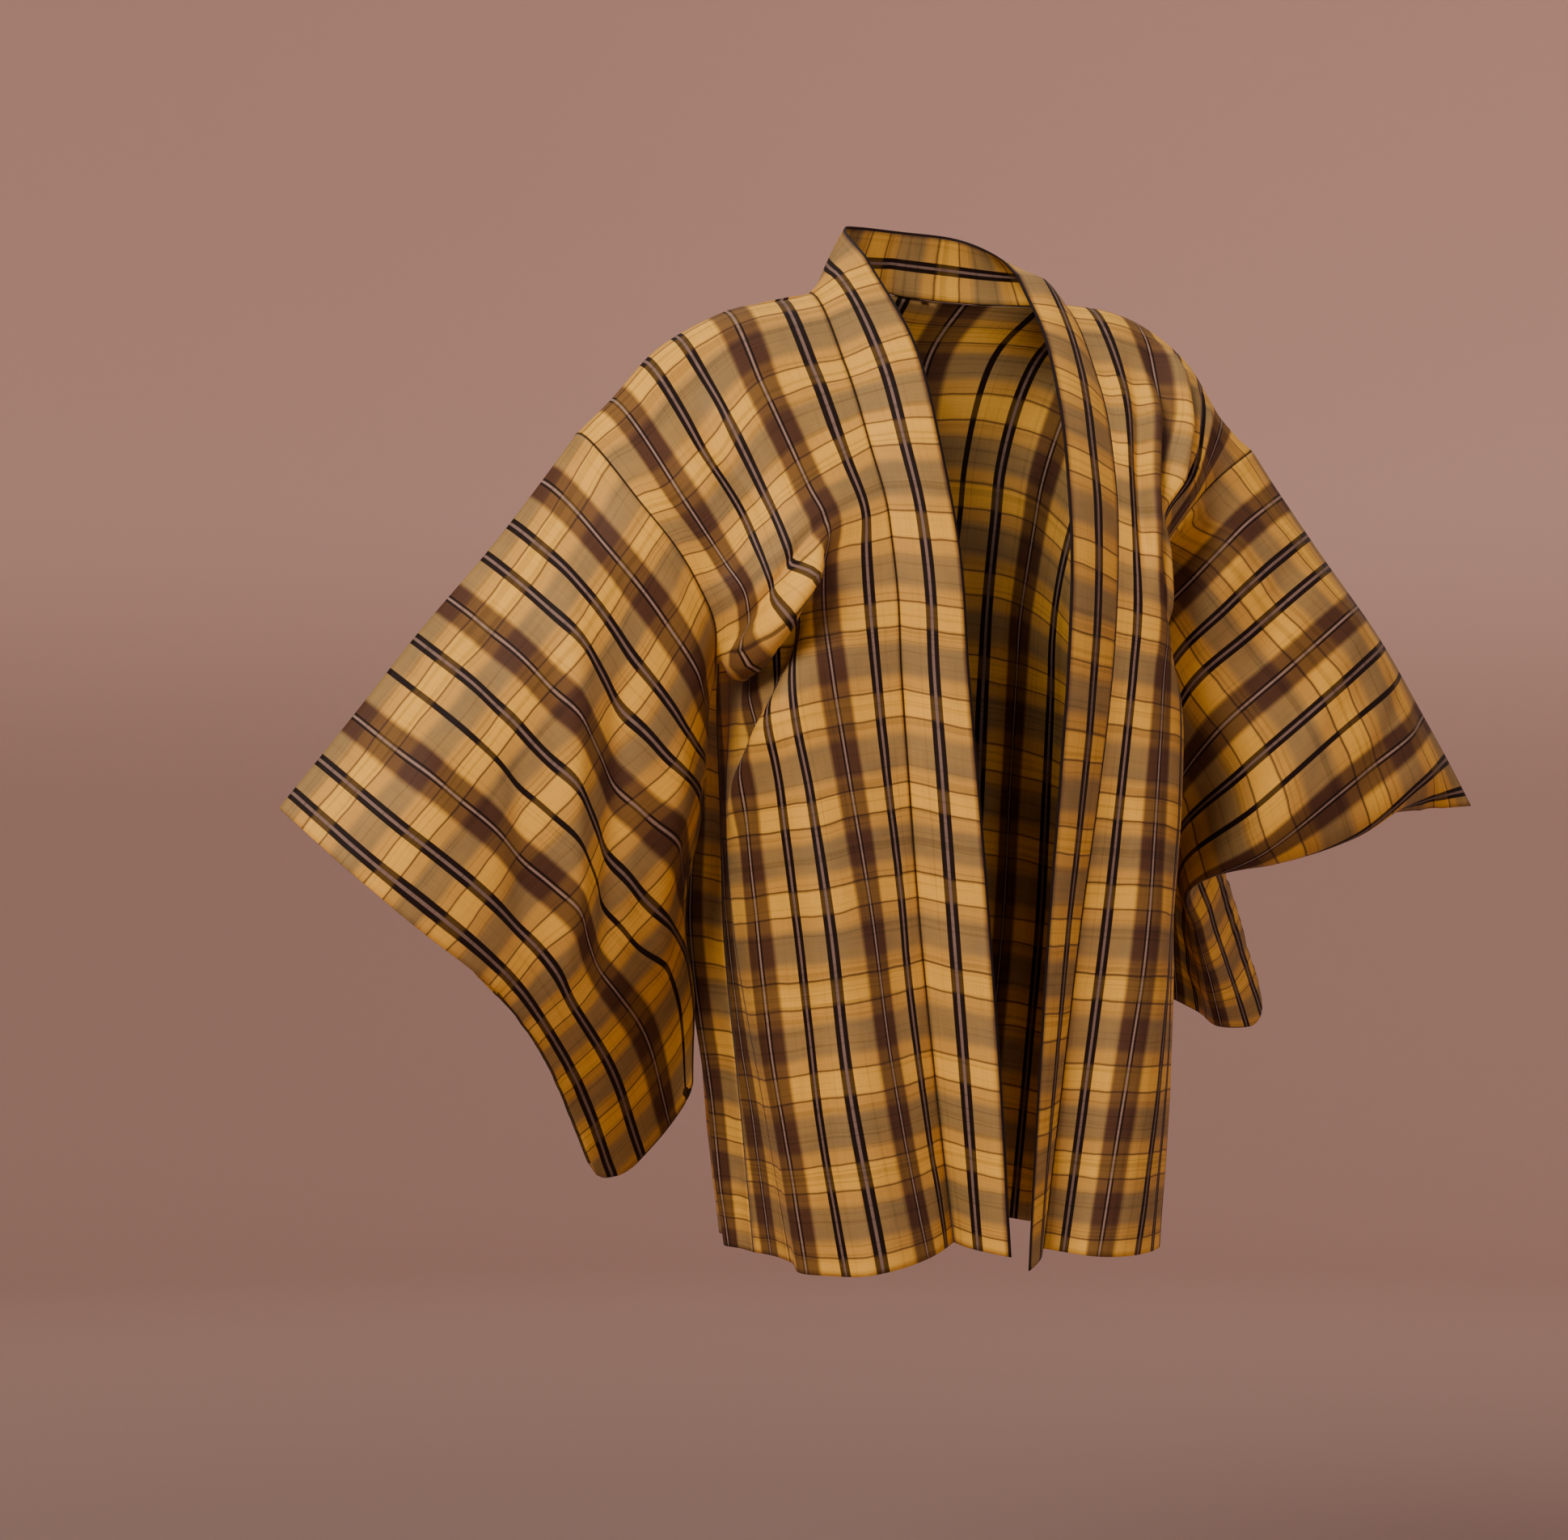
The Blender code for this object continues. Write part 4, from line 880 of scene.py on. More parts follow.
@dataclass
class BodyHalf:
    """One half of the body, in one length from the front hem over the shoulder to the back hem."""

    side: Side
    front: Net
    back: Net
    front_folds: tuple[Fold, ...]
    back_folds: tuple[Fold, ...]
    sheet: ClothSheet | None = field(default=None, init=False)

    def drape(self) -> ClothSheet:
        """Reads the two nets into one sheet, with the front's `down` above zero and the back's
        below it, and adds the folds. The seams' own lines stay as the nets give them.

        Returns:
            The sheet; its rows run from the front hem to the back hem.
        """
        part = np.linspace(0, 1, BODY_COLUMNS + 1)
        rows = {-down: row for down, row in self.front.rows.items()}
        rows.update({down: row[2:] for down, row in self.back.rows.items() if down})
        shared = Net(self.front.threads, rows)
        front_thread = NECK_THREAD + part * (SIDE_THREAD - NECK_THREAD)
        front = shared.read(-BODY_DOWN[::-1], front_thread)

        starts = CENTRE_BACK_THREAD + (NECK_THREAD - CENTRE_BACK_THREAD) * np.cos(np.radians(NECK_TURN))
        starts = np.concatenate([starts, np.full(len(BACK_DOWN) - NECK_ROWS, CENTRE_BACK_THREAD)])
        back_thread = starts[:, None] + part * (SIDE_THREAD - starts[:, None])
        back = np.array([
            self.back.read([down], line)[0] for down, line in zip(BACK_DOWN, back_thread)
        ])
        side_line = shared.read(BACK_DOWN, [SIDE_THREAD])[:, 0]
        back += (side_line - back[:, -1])[:, None] * part[None, :, None] ** 3

        thread = np.concatenate([np.broadcast_to(front_thread, front.shape[:2]), back_thread])
        down = np.concatenate([BODY_DOWN[::-1], -BACK_DOWN])[:, None] + 0 * thread
        depth = np.abs(down)
        edge = np.concatenate([np.full(len(BODY_DOWN), NECK_THREAD), starts])
        neck = thread - edge[:, None]
        seam = np.minimum(SIDE_THREAD - thread, neck)
        self.sheet = ClothSheet(np.concatenate([front, back]), thread, down, seam)

        folds = np.where(
            down >= 0, fold_height(self.front_folds, thread, depth),
            fold_height(self.back_folds, thread, depth),
        )
        # Folds grow over a few cm from a seam and from the shoulder; crumples start sooner, and
        # puckers at the seam itself.
        calm = smooth_step(seam / 3.0) * smooth_step((depth + 1.5) / 5.0)
        seed = BODY_SEEDS[self.side]
        ripple = pucker(SIDE_THREAD - thread, down, seed) + pucker(neck, down, seed + 3)
        fine = crumple(thread, down, seed + 6) * smooth_step(seam / 1.6)
        self.sheet.thread = thread + BODY_DRAW * folds * calm
        self.sheet.lift(folds * calm + fine + ripple * smooth_step(seam / 0.5), self.side.value)
        return self.sheet

    def side_lines(self) -> tuple[np.ndarray, np.ndarray]:
        """The side edge, front and back, each at every BODY_DOWN from the shoulder fold.

        Returns:
            The front's line and the back's, as arrays of points.
        """
        line = self.sheet.points[:, -1]
        front = line[:len(BODY_DOWN)][::-1]
        back = np.concatenate([front[:1], line[len(BODY_DOWN):]])
        return front.copy(), curve(np.concatenate([[0.0], BACK_DOWN]), back, BODY_DOWN)

    def piece(self) -> ClothPiece:
        """The half as a piece; the neck and the narrower front leave its cut less than a full
        length of the half width.

        Returns:
            The piece.
        """
        width, length = (SIDE_THREAD - CENTRE_BACK_THREAD) * CM, 2 * BODY_LENGTH * CM
        front = (SIDE_THREAD - NECK_THREAD) * CM
        return ClothPiece(
            "body_" + self.side.word, "silk_body", (width, length), (width + front) * length / 2, self.sheet
        )


@dataclass
class Sleeve:
    """A bag sleeve: one length folded at the top, sewn to the armhole, open along its inner edge
    below that, open at the cuff and sewn shut beneath it, with a rounded lower corner."""

    side: Side
    front: Net
    spread: Net
    front_folds: tuple[Fold, ...]
    back_folds: tuple[Fold, ...]
    layers: list[ClothSheet] = field(default_factory=list, init=False)

    def drape(self, front_seam: np.ndarray, back_seam: np.ndarray) -> None:
        """Lays both layers, meets the armhole and adds the folds.

        Args:
            front_seam: the armhole's line on the body's front, from the shoulder fold.
            back_seam: the same on the back.
        """
        threads = np.linspace(0, SLEEVE_WIDTH, SLEEVE_COLUMNS + 1)
        rise = np.clip(SLEEVE_CORNER_RADIUS - threads, 0, None)
        bottom = SLEEVE_DEPTH - SLEEVE_CORNER_RADIUS + np.sqrt(SLEEVE_CORNER_RADIUS**2 - rise**2)
        low = smooth_step((SLEEVE_DOWN - ARMHOLE) / (SLEEVE_DEPTH - ARMHOLE))
        down = SLEEVE_DOWN[:, None] - low[:, None] * (SLEEVE_DEPTH - bottom)
        front = np.stack([
            self.front.read(down[:, column], [at])[:, 0] for column, at in enumerate(threads)
        ], axis=1)
        apart = np.stack([
            self.spread.read(down[:, column], [at], steady=True)[:, 0] for column, at in enumerate(threads)
        ], axis=1)
        thread = np.broadcast_to(threads, down.shape)
        holes = len(ARMHOLE_DOWN)
        past = np.clip(down - ARMHOLE, 0, None)
        seam = np.minimum(np.hypot(SLEEVE_WIDTH - thread, past), SLEEVE_DEPTH - down)
        sewn = np.where(down > ARMHOLE, thread, FAR)
        grip = smooth_step(np.minimum(thread, SLEEVE_WIDTH - thread) / 2.0 + 0.15)
        edges = smooth_step(down / 3.0) * smooth_step((SLEEVE_DEPTH - down) / 5.0)
        first_seed = SLEEVE_SEEDS[self.side]
        for layer, along, line, folds, outward, seed in (
            (front, down, front_seam, self.front_folds, -self.side.value, first_seed),
            (front + apart, -down, back_seam, self.back_folds, self.side.value, first_seed + 10),
        ):
            fix = np.zeros((len(down), 3))
            fix[:holes] = line[:holes] - layer[:holes, -1]
            fix[holes:] = fix[holes - 1] * np.exp(-(SLEEVE_DOWN[holes:] - ARMHOLE) / ARMHOLE_EASE)[:, None]
            layer = layer + fix[:, None] * ((threads / SLEEVE_WIDTH) ** 4)[None, :, None]
            lift = fold_height(folds, thread, down) * grip * edges
            sheet = ClothSheet(layer, thread + SLEEVE_DRAW * lift, along, np.minimum(seam, sewn))
            fine = crumple(thread, down, seed) * smooth_step(seam / 2.0) * edges
            ripple = pucker(np.hypot(SLEEVE_WIDTH - thread, past), down, seed + 5)
            ripple += CUFF_PUCKER * pucker(thread, down, seed + 9) * smooth_step(down / 6.0)
            sheet.lift(lift + fine + ripple * smooth_step((SLEEVE_WIDTH - thread) / 0.6), outward)
            self.layers.append(sheet)
        self.keep_apart(thread, down)

    def keep_apart(self, thread: np.ndarray, down: np.ndarray) -> None:
        """Keeps the back layer at least a wall and a little air behind the front one, and closes
        the two along the sewn part of the cuff edge.

        Args:
            thread: the points' cm across the cloth.
            down: their cm below the top fold.
        """
        front, back = self.layers
        between = back.points - front.points
        reach = np.linalg.norm(between, axis=2, keepdims=True)
        least = np.where(down > TOP_FOLD, WALL + HANGING_AIR, 0.0)[..., None]
        way = np.where(reach > TOUCHING, between / np.maximum(reach, TOUCHING), [0.0, 1.0, 0.0])
        back.points = front.points + way * np.maximum(reach, least)
        closed = smooth_step((down - ARMHOLE) / 3.0) * smooth_step(1 - thread / 1.2)
        shut = (front.points + back.points) / 2
        gap = way * (WALL + SEWN_AIR) / 2
        front.points += (shut - gap - front.points) * closed[..., None]
        back.points += (shut + gap - back.points) * closed[..., None]

    def piece(self) -> ClothPiece:
        """Both layers as one ring, cut from one length of the sleeve's width.

        Returns:
            The piece.
        """
        front, back = self.layers
        rings = [
            np.concatenate([getattr(front, key), getattr(back, key)[:0:-1]])
            for key in ("points", "thread", "down", "seam")
        ]
        return ClothPiece(
            "sleeve_" + self.side.word, "silk_sleeve", (SLEEVE_WIDTH * CM, 2 * SLEEVE_DEPTH * CM),
            SLEEVE_WIDTH * 2 * SLEEVE_DEPTH * CM**2, ClothSheet(*rings), ring=True,
            turn_row=len(SLEEVE_DOWN) - 1, hangs_from=("body_" + self.side.word,),
        )


@dataclass
class Gusset:
    """The narrow side panel between the front's and the back's side seams, widening to the hem."""

    side: Side
    sheet: ClothSheet | None = field(default=None, init=False)
    width: float = field(default=0.0, init=False)

    def drape(self, front_side: np.ndarray, back_side: np.ndarray) -> None:
        """Lays the panel between the two side seams, bowed out a little.

        Args:
            front_side: the front's side seam, from the armhole down.
            back_side: the back's side seam, at the same rows.
        """
        part = np.linspace(0, 1, GUSSET_COLUMNS + 1)
        strip = front_side[:, None] + (back_side - front_side)[:, None] * part[None, :, None]
        widths = np.linalg.norm(back_side - front_side, axis=1)
        self.width = float(widths.max())
        across = part * widths[:, None]
        down = BODY_DOWN[len(ARMHOLE_DOWN) - 1:][:, None] + 0 * across
        seam = np.minimum(across, widths[:, None] - across)
        self.sheet = ClothSheet(strip, GUSSET_THREAD - across, down, seam)
        fine = crumple(across, down, GUSSET_SEEDS[self.side]) * smooth_step(seam / 1.5)
        self.sheet.lift(GUSSET_BOW * np.sin(np.pi * part)[None] + fine, -self.side.value)

    def piece(self) -> ClothPiece:
        """The panel as a piece, a long trapezium."""
        length = (BODY_LENGTH - ARMHOLE) * CM
        return ClothPiece(
            "gusset_" + self.side.word, "silk_gusset", (self.width * CM, length),
            GUSSET_TAPER * self.width * CM * length, self.sheet, hangs_from=("body_" + self.side.word,),
        )


@dataclass
class Collar:
    """The long band from the right hem round the neck to the left hem."""

    right_rows: tuple[CollarRow, ...]
    right_neck: tuple[CollarRow, ...]
    centre: CollarRow
    left_neck: tuple[CollarRow, ...]
    left_rows: tuple[CollarRow, ...]
    sheet: ClothSheet | None = field(default=None, init=False)

    @staticmethod
    def lines(rows: list[CollarRow], at: np.ndarray) -> tuple[np.ndarray, np.ndarray]:
        """Reads the collar's sections at places along it.

        Args:
            rows: the sections, in any order.
            at: the places.

        Returns:
            The folded edge's points and how far the band arches, at each place.
        """
        rows = sorted(rows, key=lambda row: row.along)
        knots = [row.along for row in rows]
        return curve(knots, [row.edge for row in rows], at), curve(knots, [row.arch for row in rows], at)

    def drape(self, right: ClothSheet, left: ClothSheet) -> None:
        """Lays the band between the body's collar seam and its own folded edge.

        Args:
            right: the right half's sheet.
            left: the left half's sheet.
        """
        rows = len(BODY_DOWN) + NECK_ROWS
        seam_line = np.concatenate([right.points[:rows, 0], left.points[rows - 2::-1, 0]])
        round_right = [replace(self.right_rows[-1], along=0), *self.right_neck, self.centre]
        round_left = [replace(self.left_rows[0], along=0), *self.left_neck, self.centre]
        runs = [
            self.lines(self.right_rows, BODY_DOWN[::-1]), self.lines(round_right, NECK_TURN),
            tuple(part[-2::-1] for part in self.lines(round_left, NECK_TURN)),
            self.lines(self.left_rows, BODY_DOWN),
        ]
        edge, arch = (np.concatenate([run[key] for run in runs]) for key in (0, 1))
        part = np.linspace(0, 1, COLLAR_COLUMNS + 1)
        band = seam_line[:, None] + (edge - seam_line)[:, None] * part[None, :, None]
        steps = np.linalg.norm(np.diff(seam_line[len(BODY_DOWN) - 1:rows + NECK_ROWS], axis=0), axis=1)
        neck = -np.cumsum(steps)
        down = np.concatenate([BODY_DOWN[::-1], neck, neck[-1] - BODY_DOWN[1:]])[:, None] + 0 * part
        across = part[None] * COLLAR_WIDTH + 0 * down
        self.sheet = ClothSheet(band, COLLAR_THREAD + across, down, across)
        bow = arch[:, None] * np.sin(np.pi * part)[None]
        fine = crumple(across, down, COLLAR_SEED) * smooth_step(across / 1.5) * COLLAR_CRUMPLE
        ripple = pucker(across, down, COLLAR_SEED + 3) * smooth_step(across / 0.5)
        self.sheet.lift(bow + fine + COLLAR_PUCKER * ripple, -1)

    def piece(self) -> ClothPiece:
        """The band as a piece, as wide as what shows of it.

        Returns:
            The piece.
        """
        points = self.sheet.points
        length = float(np.linalg.norm(np.diff(points.mean(axis=1), axis=0), axis=1).sum())
        return ClothPiece(
            "collar", "silk_collar", (COLLAR_WIDTH * CM, length * CM), COLLAR_WIDTH * length * CM**2,
            self.sheet, hangs_from=("body_right", "body_left"),
        )


def sew_body(right: ClothSheet, left: ClothSheet, collar: ClothSheet) -> None:
    """Ends the two halves and the collar just short of the centre-back and collar seams.

    Args:
        right: the right half's sheet.
        left: the left half's sheet.
        collar: the collar's sheet.
    """
    centre = len(BODY_DOWN) + NECK_ROWS - 1
    for half, line in ((right, collar.points[:centre + 1]), (left, collar.points[:centre - 1:-1])):
        sheet = half.points[:centre + 1]
        into, other = inwards(sheet), inwards(line)
        amount = setback(into, other)
        pull_back(sheet, into, amount)
        pull_back(line, other, amount)
    into, other = inwards(right.points[centre:]), inwards(left.points[centre:])
    amount = setback(into, other)
    pull_back(right.points[centre:], into, amount)
    pull_back(left.points[centre:], other, amount)


def sew_side(body: BodyHalf, sleeve: Sleeve, gusset: Gusset) -> None:
    """Ends a half, its sleeve and its gusset just short of the armhole and side seams.

    Args:
        body: the half, draped.
        sleeve: the sleeve on its side, draped.
        gusset: the gusset on its side, draped.
    """
    rows, holes = len(BODY_DOWN), len(ARMHOLE_DOWN)
    half, panel = body.sheet.points[:, ::-1], gusset.sheet.points
    into = inwards(half)
    front = into[:rows][::-1]
    back = curve(np.concatenate([[0.0], BACK_DOWN]), into[rows - 1:], BODY_DOWN)
    beyond = []
    for sheet, strip, own in zip(sleeve.layers, (panel, panel[:, ::-1]), (front, back)):
        layer = sheet.points[:holes, ::-1]
        arm, side = inwards(layer), inwards(strip)
        pull_back(layer, arm, setback(arm, own[:holes]))
        pull_back(strip, side, setback(side, own[holes - 1:]))
        beyond.append(np.concatenate([arm[:-1], unit(arm[-1:] + side[:1]), side[1:]]))
    other = np.concatenate([beyond[0][::-1], curve(BODY_DOWN, beyond[1], BACK_DOWN)])
    pull_back(half, into, setback(into, other))


class Graph:
    """Writes shader nodes as sums: most methods add a node and return its output socket."""

    def __init__(self, tree: bpy.types.NodeTree) -> None:
        """Starts writing into a node tree."""
        self.tree = tree

    def node(self, kind: str, **settings: object) -> bpy.types.Node:
        """Adds a node and sets its properties.

        Args:
            kind: the node's type.
            settings: its properties by name.

        Returns:
            The node.
        """
        made = self.tree.nodes.new(kind)
        for name, value in settings.items():
            setattr(made, name, value)
        return made

    def feed(self, socket: Socket, value: Socket | float | tuple) -> None:
        """Links a socket, or sets its constant.

        Args:
            socket: the input to feed.
            value: the output that is linked to it, or the constant.
        """
        if isinstance(value, Socket):
            self.tree.links.new(value, socket)
        else:
            socket.default_value = value

    def math(self, operation: str, *values: Socket | float) -> Socket:
        """Works out one sum.

        Args:
            operation: the sum's name.
            values: its inputs, in order.

        Returns:
            The result.
        """
        made = self.node("ShaderNodeMath", operation=operation)
        for socket, value in zip(made.inputs, values):
            self.feed(socket, value)
        return made.outputs[0]

    def ease(self, value: Socket, start: float, end: float, low: float = 0.0, high: float = 1.0) -> Socket:
        """Eases from low to high as value goes from start to end.

        Args:
            value: the output that is read.
            start: where the easing starts.
            end: where it ends.
            low: the result before the start.
            high: the result past the end.

        Returns:
            The eased result.
        """
        made = self.node("ShaderNodeMapRange", interpolation_type="SMOOTHSTEP")
        for socket, part in zip(made.inputs, (value, start, end, low, high)):
            self.feed(socket, part)
        return made.outputs[0]

    def mix(
        self, factor: Socket | float, first: Socket | tuple, second: Socket | tuple, blend: str = "MIX"
    ) -> Socket:
        """Mixes two colours.

        Args:
            factor: how strongly the second colour shows, from 0 to 1.
            first: the colour below.
            second: the colour above it.
            blend: how the two are blended.

        Returns:
            The mixed colour.
        """
        made = self.node("ShaderNodeMix", data_type="RGBA", blend_type=blend)
        self.feed(made.inputs["Factor"], factor)
        self.feed(made.inputs[6], first)
        self.feed(made.inputs[7], second)
        return made.outputs[2]

    def noise(self, place: Socket, scale: float, detail: float = 2.0) -> Socket:
        """Reads noise at a place.

        Args:
            place: the vector that it is read at.
            scale: its grains per unit of the vector.
            detail: how many finer layers it has.

        Returns:
            A value from 0 to 1.
        """
        made = self.node("ShaderNodeTexNoise")
        self.feed(made.inputs["Vector"], place)
        self.feed(made.inputs["Scale"], scale)
        self.feed(made.inputs["Detail"], detail)
        return made.outputs["Fac"]

    def vector(self, *parts: Socket | float) -> Socket:
        """Joins up to three values.

        Args:
            parts: x, y and z.

        Returns:
            The vector.
        """
        made = self.node("ShaderNodeCombineXYZ")
        for socket, part in zip(made.inputs, parts):
            self.feed(socket, part)
        return made.outputs[0]

    def nearest(self, value: Socket, centres: tuple[float, ...]) -> Socket:
        """Finds how far a value is from the nearest of some centres.

        Args:
            value: the output that is read.
            centres: the centres.

        Returns:
            The distance.
        """
        nearest = None
        for centre in centres:
            off = self.math("ABSOLUTE", self.math("SUBTRACT", value, centre))
            nearest = off if nearest is None else self.math("MINIMUM", nearest, off)
        return nearest


def group(
    name: str, inputs: dict[str, float], outputs: dict[str, str]
) -> tuple[Graph, bpy.types.Node, bpy.types.Node]:
    """Starts a shader node group.

    Args:
        name: the group's name.
        inputs: its number inputs with their defaults.
        outputs: its outputs with their socket types.

    Returns:
        The group's graph, its input node and its output node.
    """
    tree = bpy.data.node_groups.new(name, "ShaderNodeTree")
    for label, value in inputs.items():
        tree.interface.new_socket(label, in_out="INPUT", socket_type="NodeSocketFloat").default_value = value
    for label, kind in outputs.items():
        tree.interface.new_socket(label, in_out="OUTPUT", socket_type=kind)
    graph = Graph(tree)
    return graph, graph.node("NodeGroupInput"), graph.node("NodeGroupOutput")


@dataclass(frozen=True)
class CheckTones:
    """The colours of the woven check, as linear reflectances, and the shares, from 0 to 1, that
    one thread shows of another's colour."""

    gold: Color
    olive: Color
    bright: Color
    brown: Color
    black: Color
    lilac: Color
    line_share: float = 0.7
    line_on_heart: float = 0.4
    bright_on_black: float = 0.1
    brown_in_gap: float = 0.42
    band_darkness: float = 0.6


@dataclass(frozen=True)
class Check:
    """The check in cm: where its stripes run across the cloth, half their widths, and how its weft
    bands repeat.

    A double stripe is a dark one with a pale `gap` down its middle. A brown band has a pale
    `heart` with a dark `core` line on each side of it. The weft runs from the middle of a bright
    band past a dark line to the middle of an olive band, and back. A blur is what an edge is eased
    over, to each side.
    """

    doubles: tuple[float, ...] = (1.4, 4.4, 15.2, 23.1, 26.1)
    singles: tuple[float, ...] = (12.3,)
    browns: tuple[float, ...] = (8.3, 19.0, 29.9)
    double_half: float = 0.46
    gap_half: float = 0.11
    single_half: float = 0.22
    band_half: float = 1.4
    heart_half: float = 0.075
    core_place: float = 0.2
    line_half: float = 0.07
    half_repeat: float = 3.32
    weft_line: float = 0.975
    bright_half: float = 0.875
    olive_from: float = 2.07
    edge_blur: float = 0.03
    band_blur: float = 0.24
    weft_blur: float = 0.2
    olive_blur: float = 0.4


def check_group(check: Check, tones: CheckTones) -> bpy.types.NodeTree:
    """The woven check at a place on the cloth, from its stripes and its weft bands.

    Args:
        check: the stripes' places and widths.
        tones: the threads' colours.

    Returns:
        The node group; Dark says how much of the place is dark thread.
    """
    graph, given, out = group(
        "haori_check", {"Thread": 0.0, "Down": 0.0, "Weft Start": 1.6},
        {"Color": "NodeSocketColor", "Dark": "NodeSocketFloat"},
    )
    thread, down = given.outputs["Thread"], given.outputs["Down"]

    def inside(distance: Socket, half: float, blur: float = check.edge_blur) -> Socket:
        """1 within half a stripe's width and 0 outside it, eased over the blur."""
        return graph.ease(distance, half - blur, half + blur, 1.0, 0.0)

    start = graph.math("SUBTRACT", down, given.outputs["Weft Start"])
    weft = graph.math("PINGPONG", start, check.half_repeat)
    bright = inside(weft, check.bright_half, check.weft_blur)
    olive = graph.ease(weft, check.olive_from - check.olive_blur, check.olive_from + check.olive_blur)
    line = inside(graph.nearest(weft, (check.weft_line,)), check.line_half)

    double = graph.nearest(thread, check.doubles)
    single = graph.nearest(thread, check.singles)
    brown = graph.nearest(thread, check.browns)
    gap, heart = inside(double, check.gap_half), inside(brown, check.heart_half)
    core = graph.nearest(brown, (check.core_place,))
    black = graph.math("MAXIMUM", inside(double, check.double_half), inside(single, check.single_half))
    black = graph.math("MAXIMUM", black, inside(core, check.line_half))
    band = inside(brown, check.band_half, check.band_blur)

    ground = graph.mix(bright, tones.gold + (1,), tones.bright + (1,))
    # The olive is uneven, and the brown band is darkest where the olive crosses it.
    patchy = graph.noise(graph.vector(graph.math("MULTIPLY", thread, 0.5), down, 5.0), 0.5)
    tint = graph.math("MULTIPLY", olive, graph.ease(patchy, 0.3, 0.7, 0.8, 1.0))
    ground = graph.mix(tint, ground, tones.olive + (1,))
    thin = tuple(0.5 * (tone + dark) for tone, dark in zip(tones.brown, tones.black)) + (1,)
    depth = graph.ease(tint, 0.0, 1.0, 0.84, 0.99)
    shade = graph.mix(depth, ground, tones.brown + (1,))
    color = graph.mix(band, ground, shade)
    color = graph.mix(graph.math("MULTIPLY", line, tones.line_share), color, thin)
    glow = graph.math("MULTIPLY", bright, tones.bright_on_black)
    color = graph.mix(black, color, graph.mix(glow, tones.black + (1,), tones.bright + (1,)))
    dull = graph.mix(tones.brown_in_gap, tones.lilac + (1,), tones.brown + (1,))
    color = graph.mix(gap, color, dull)
    veil = graph.mix(graph.math("MULTIPLY", line, tones.line_on_heart), tones.lilac + (1,), thin)
    color = graph.mix(heart, color, veil)
    dark = graph.math("MAXIMUM", black, graph.math("MULTIPLY", band, tones.band_darkness))
    graph.feed(out.inputs["Color"], color)
    graph.feed(out.inputs["Dark"], dark)
    return graph.tree


def weave_group() -> bpy.types.NodeTree:
    """The silk's threads: fine streaks along and across the cloth, slubs, and slow changes of
    tone over a hand's width.

    Returns:
        The node group; Tone is a share of the colour, and Height the threads' relief.
    """
    graph, given, out = group(
        "silk_weave", {"Thread": 0.0, "Down": 0.0},
        {"Tone": "NodeSocketFloat", "Height": "NodeSocketFloat"},
    )
    thread, down = given.outputs["Thread"], given.outputs["Down"]

    def streaks(across: float, along: float, slice_at: float, detail: float = 2.0) -> Socket:
        """Noise with so many grains per cm across the cloth and along it."""
        x, y = graph.math("MULTIPLY", thread, across), graph.math("MULTIPLY", down, along)
        return graph.noise(graph.vector(x, y, slice_at), 1.0, detail)

    warp, weft = streaks(9.0, 0.35, 0.0), streaks(0.45, 8.0, 4.0)
    wide = graph.noise(graph.vector(thread, down, 9.0), 0.16, 3.0)
    slub, thick = streaks(0.5, 3.2, 7.0, 1.0), streaks(0.02, 3.1, 2.0, 1.0)
    lean = streaks(3.0, 0.02, 6.0, 1.0)
    # Each grain of the noise, the part of its range that shows, and the tone it adds at each end.
    tone = 1.0
    for grain, start, end, low, high in (
        (warp, 0.25, 0.75, -0.045, 0.045),
        (weft, 0.25, 0.75, -0.04, 0.04),
        (wide, 0.3, 0.7, -0.05, 0.05),
        (slub, 0.68, 0.85, 0.0, 0.05),
        (thick, 0.54, 0.66, 0.0, -0.22),
        (lean, 0.56, 0.7, 0.0, -0.13),
    ):
        tone = graph.math("ADD", tone, graph.ease(grain, start, end, low, high))
    graph.feed(out.inputs["Tone"], tone)
    graph.feed(out.inputs["Height"], graph.math("ADD", warp, graph.math("MULTIPLY", weft, 0.8)))
    return graph.tree


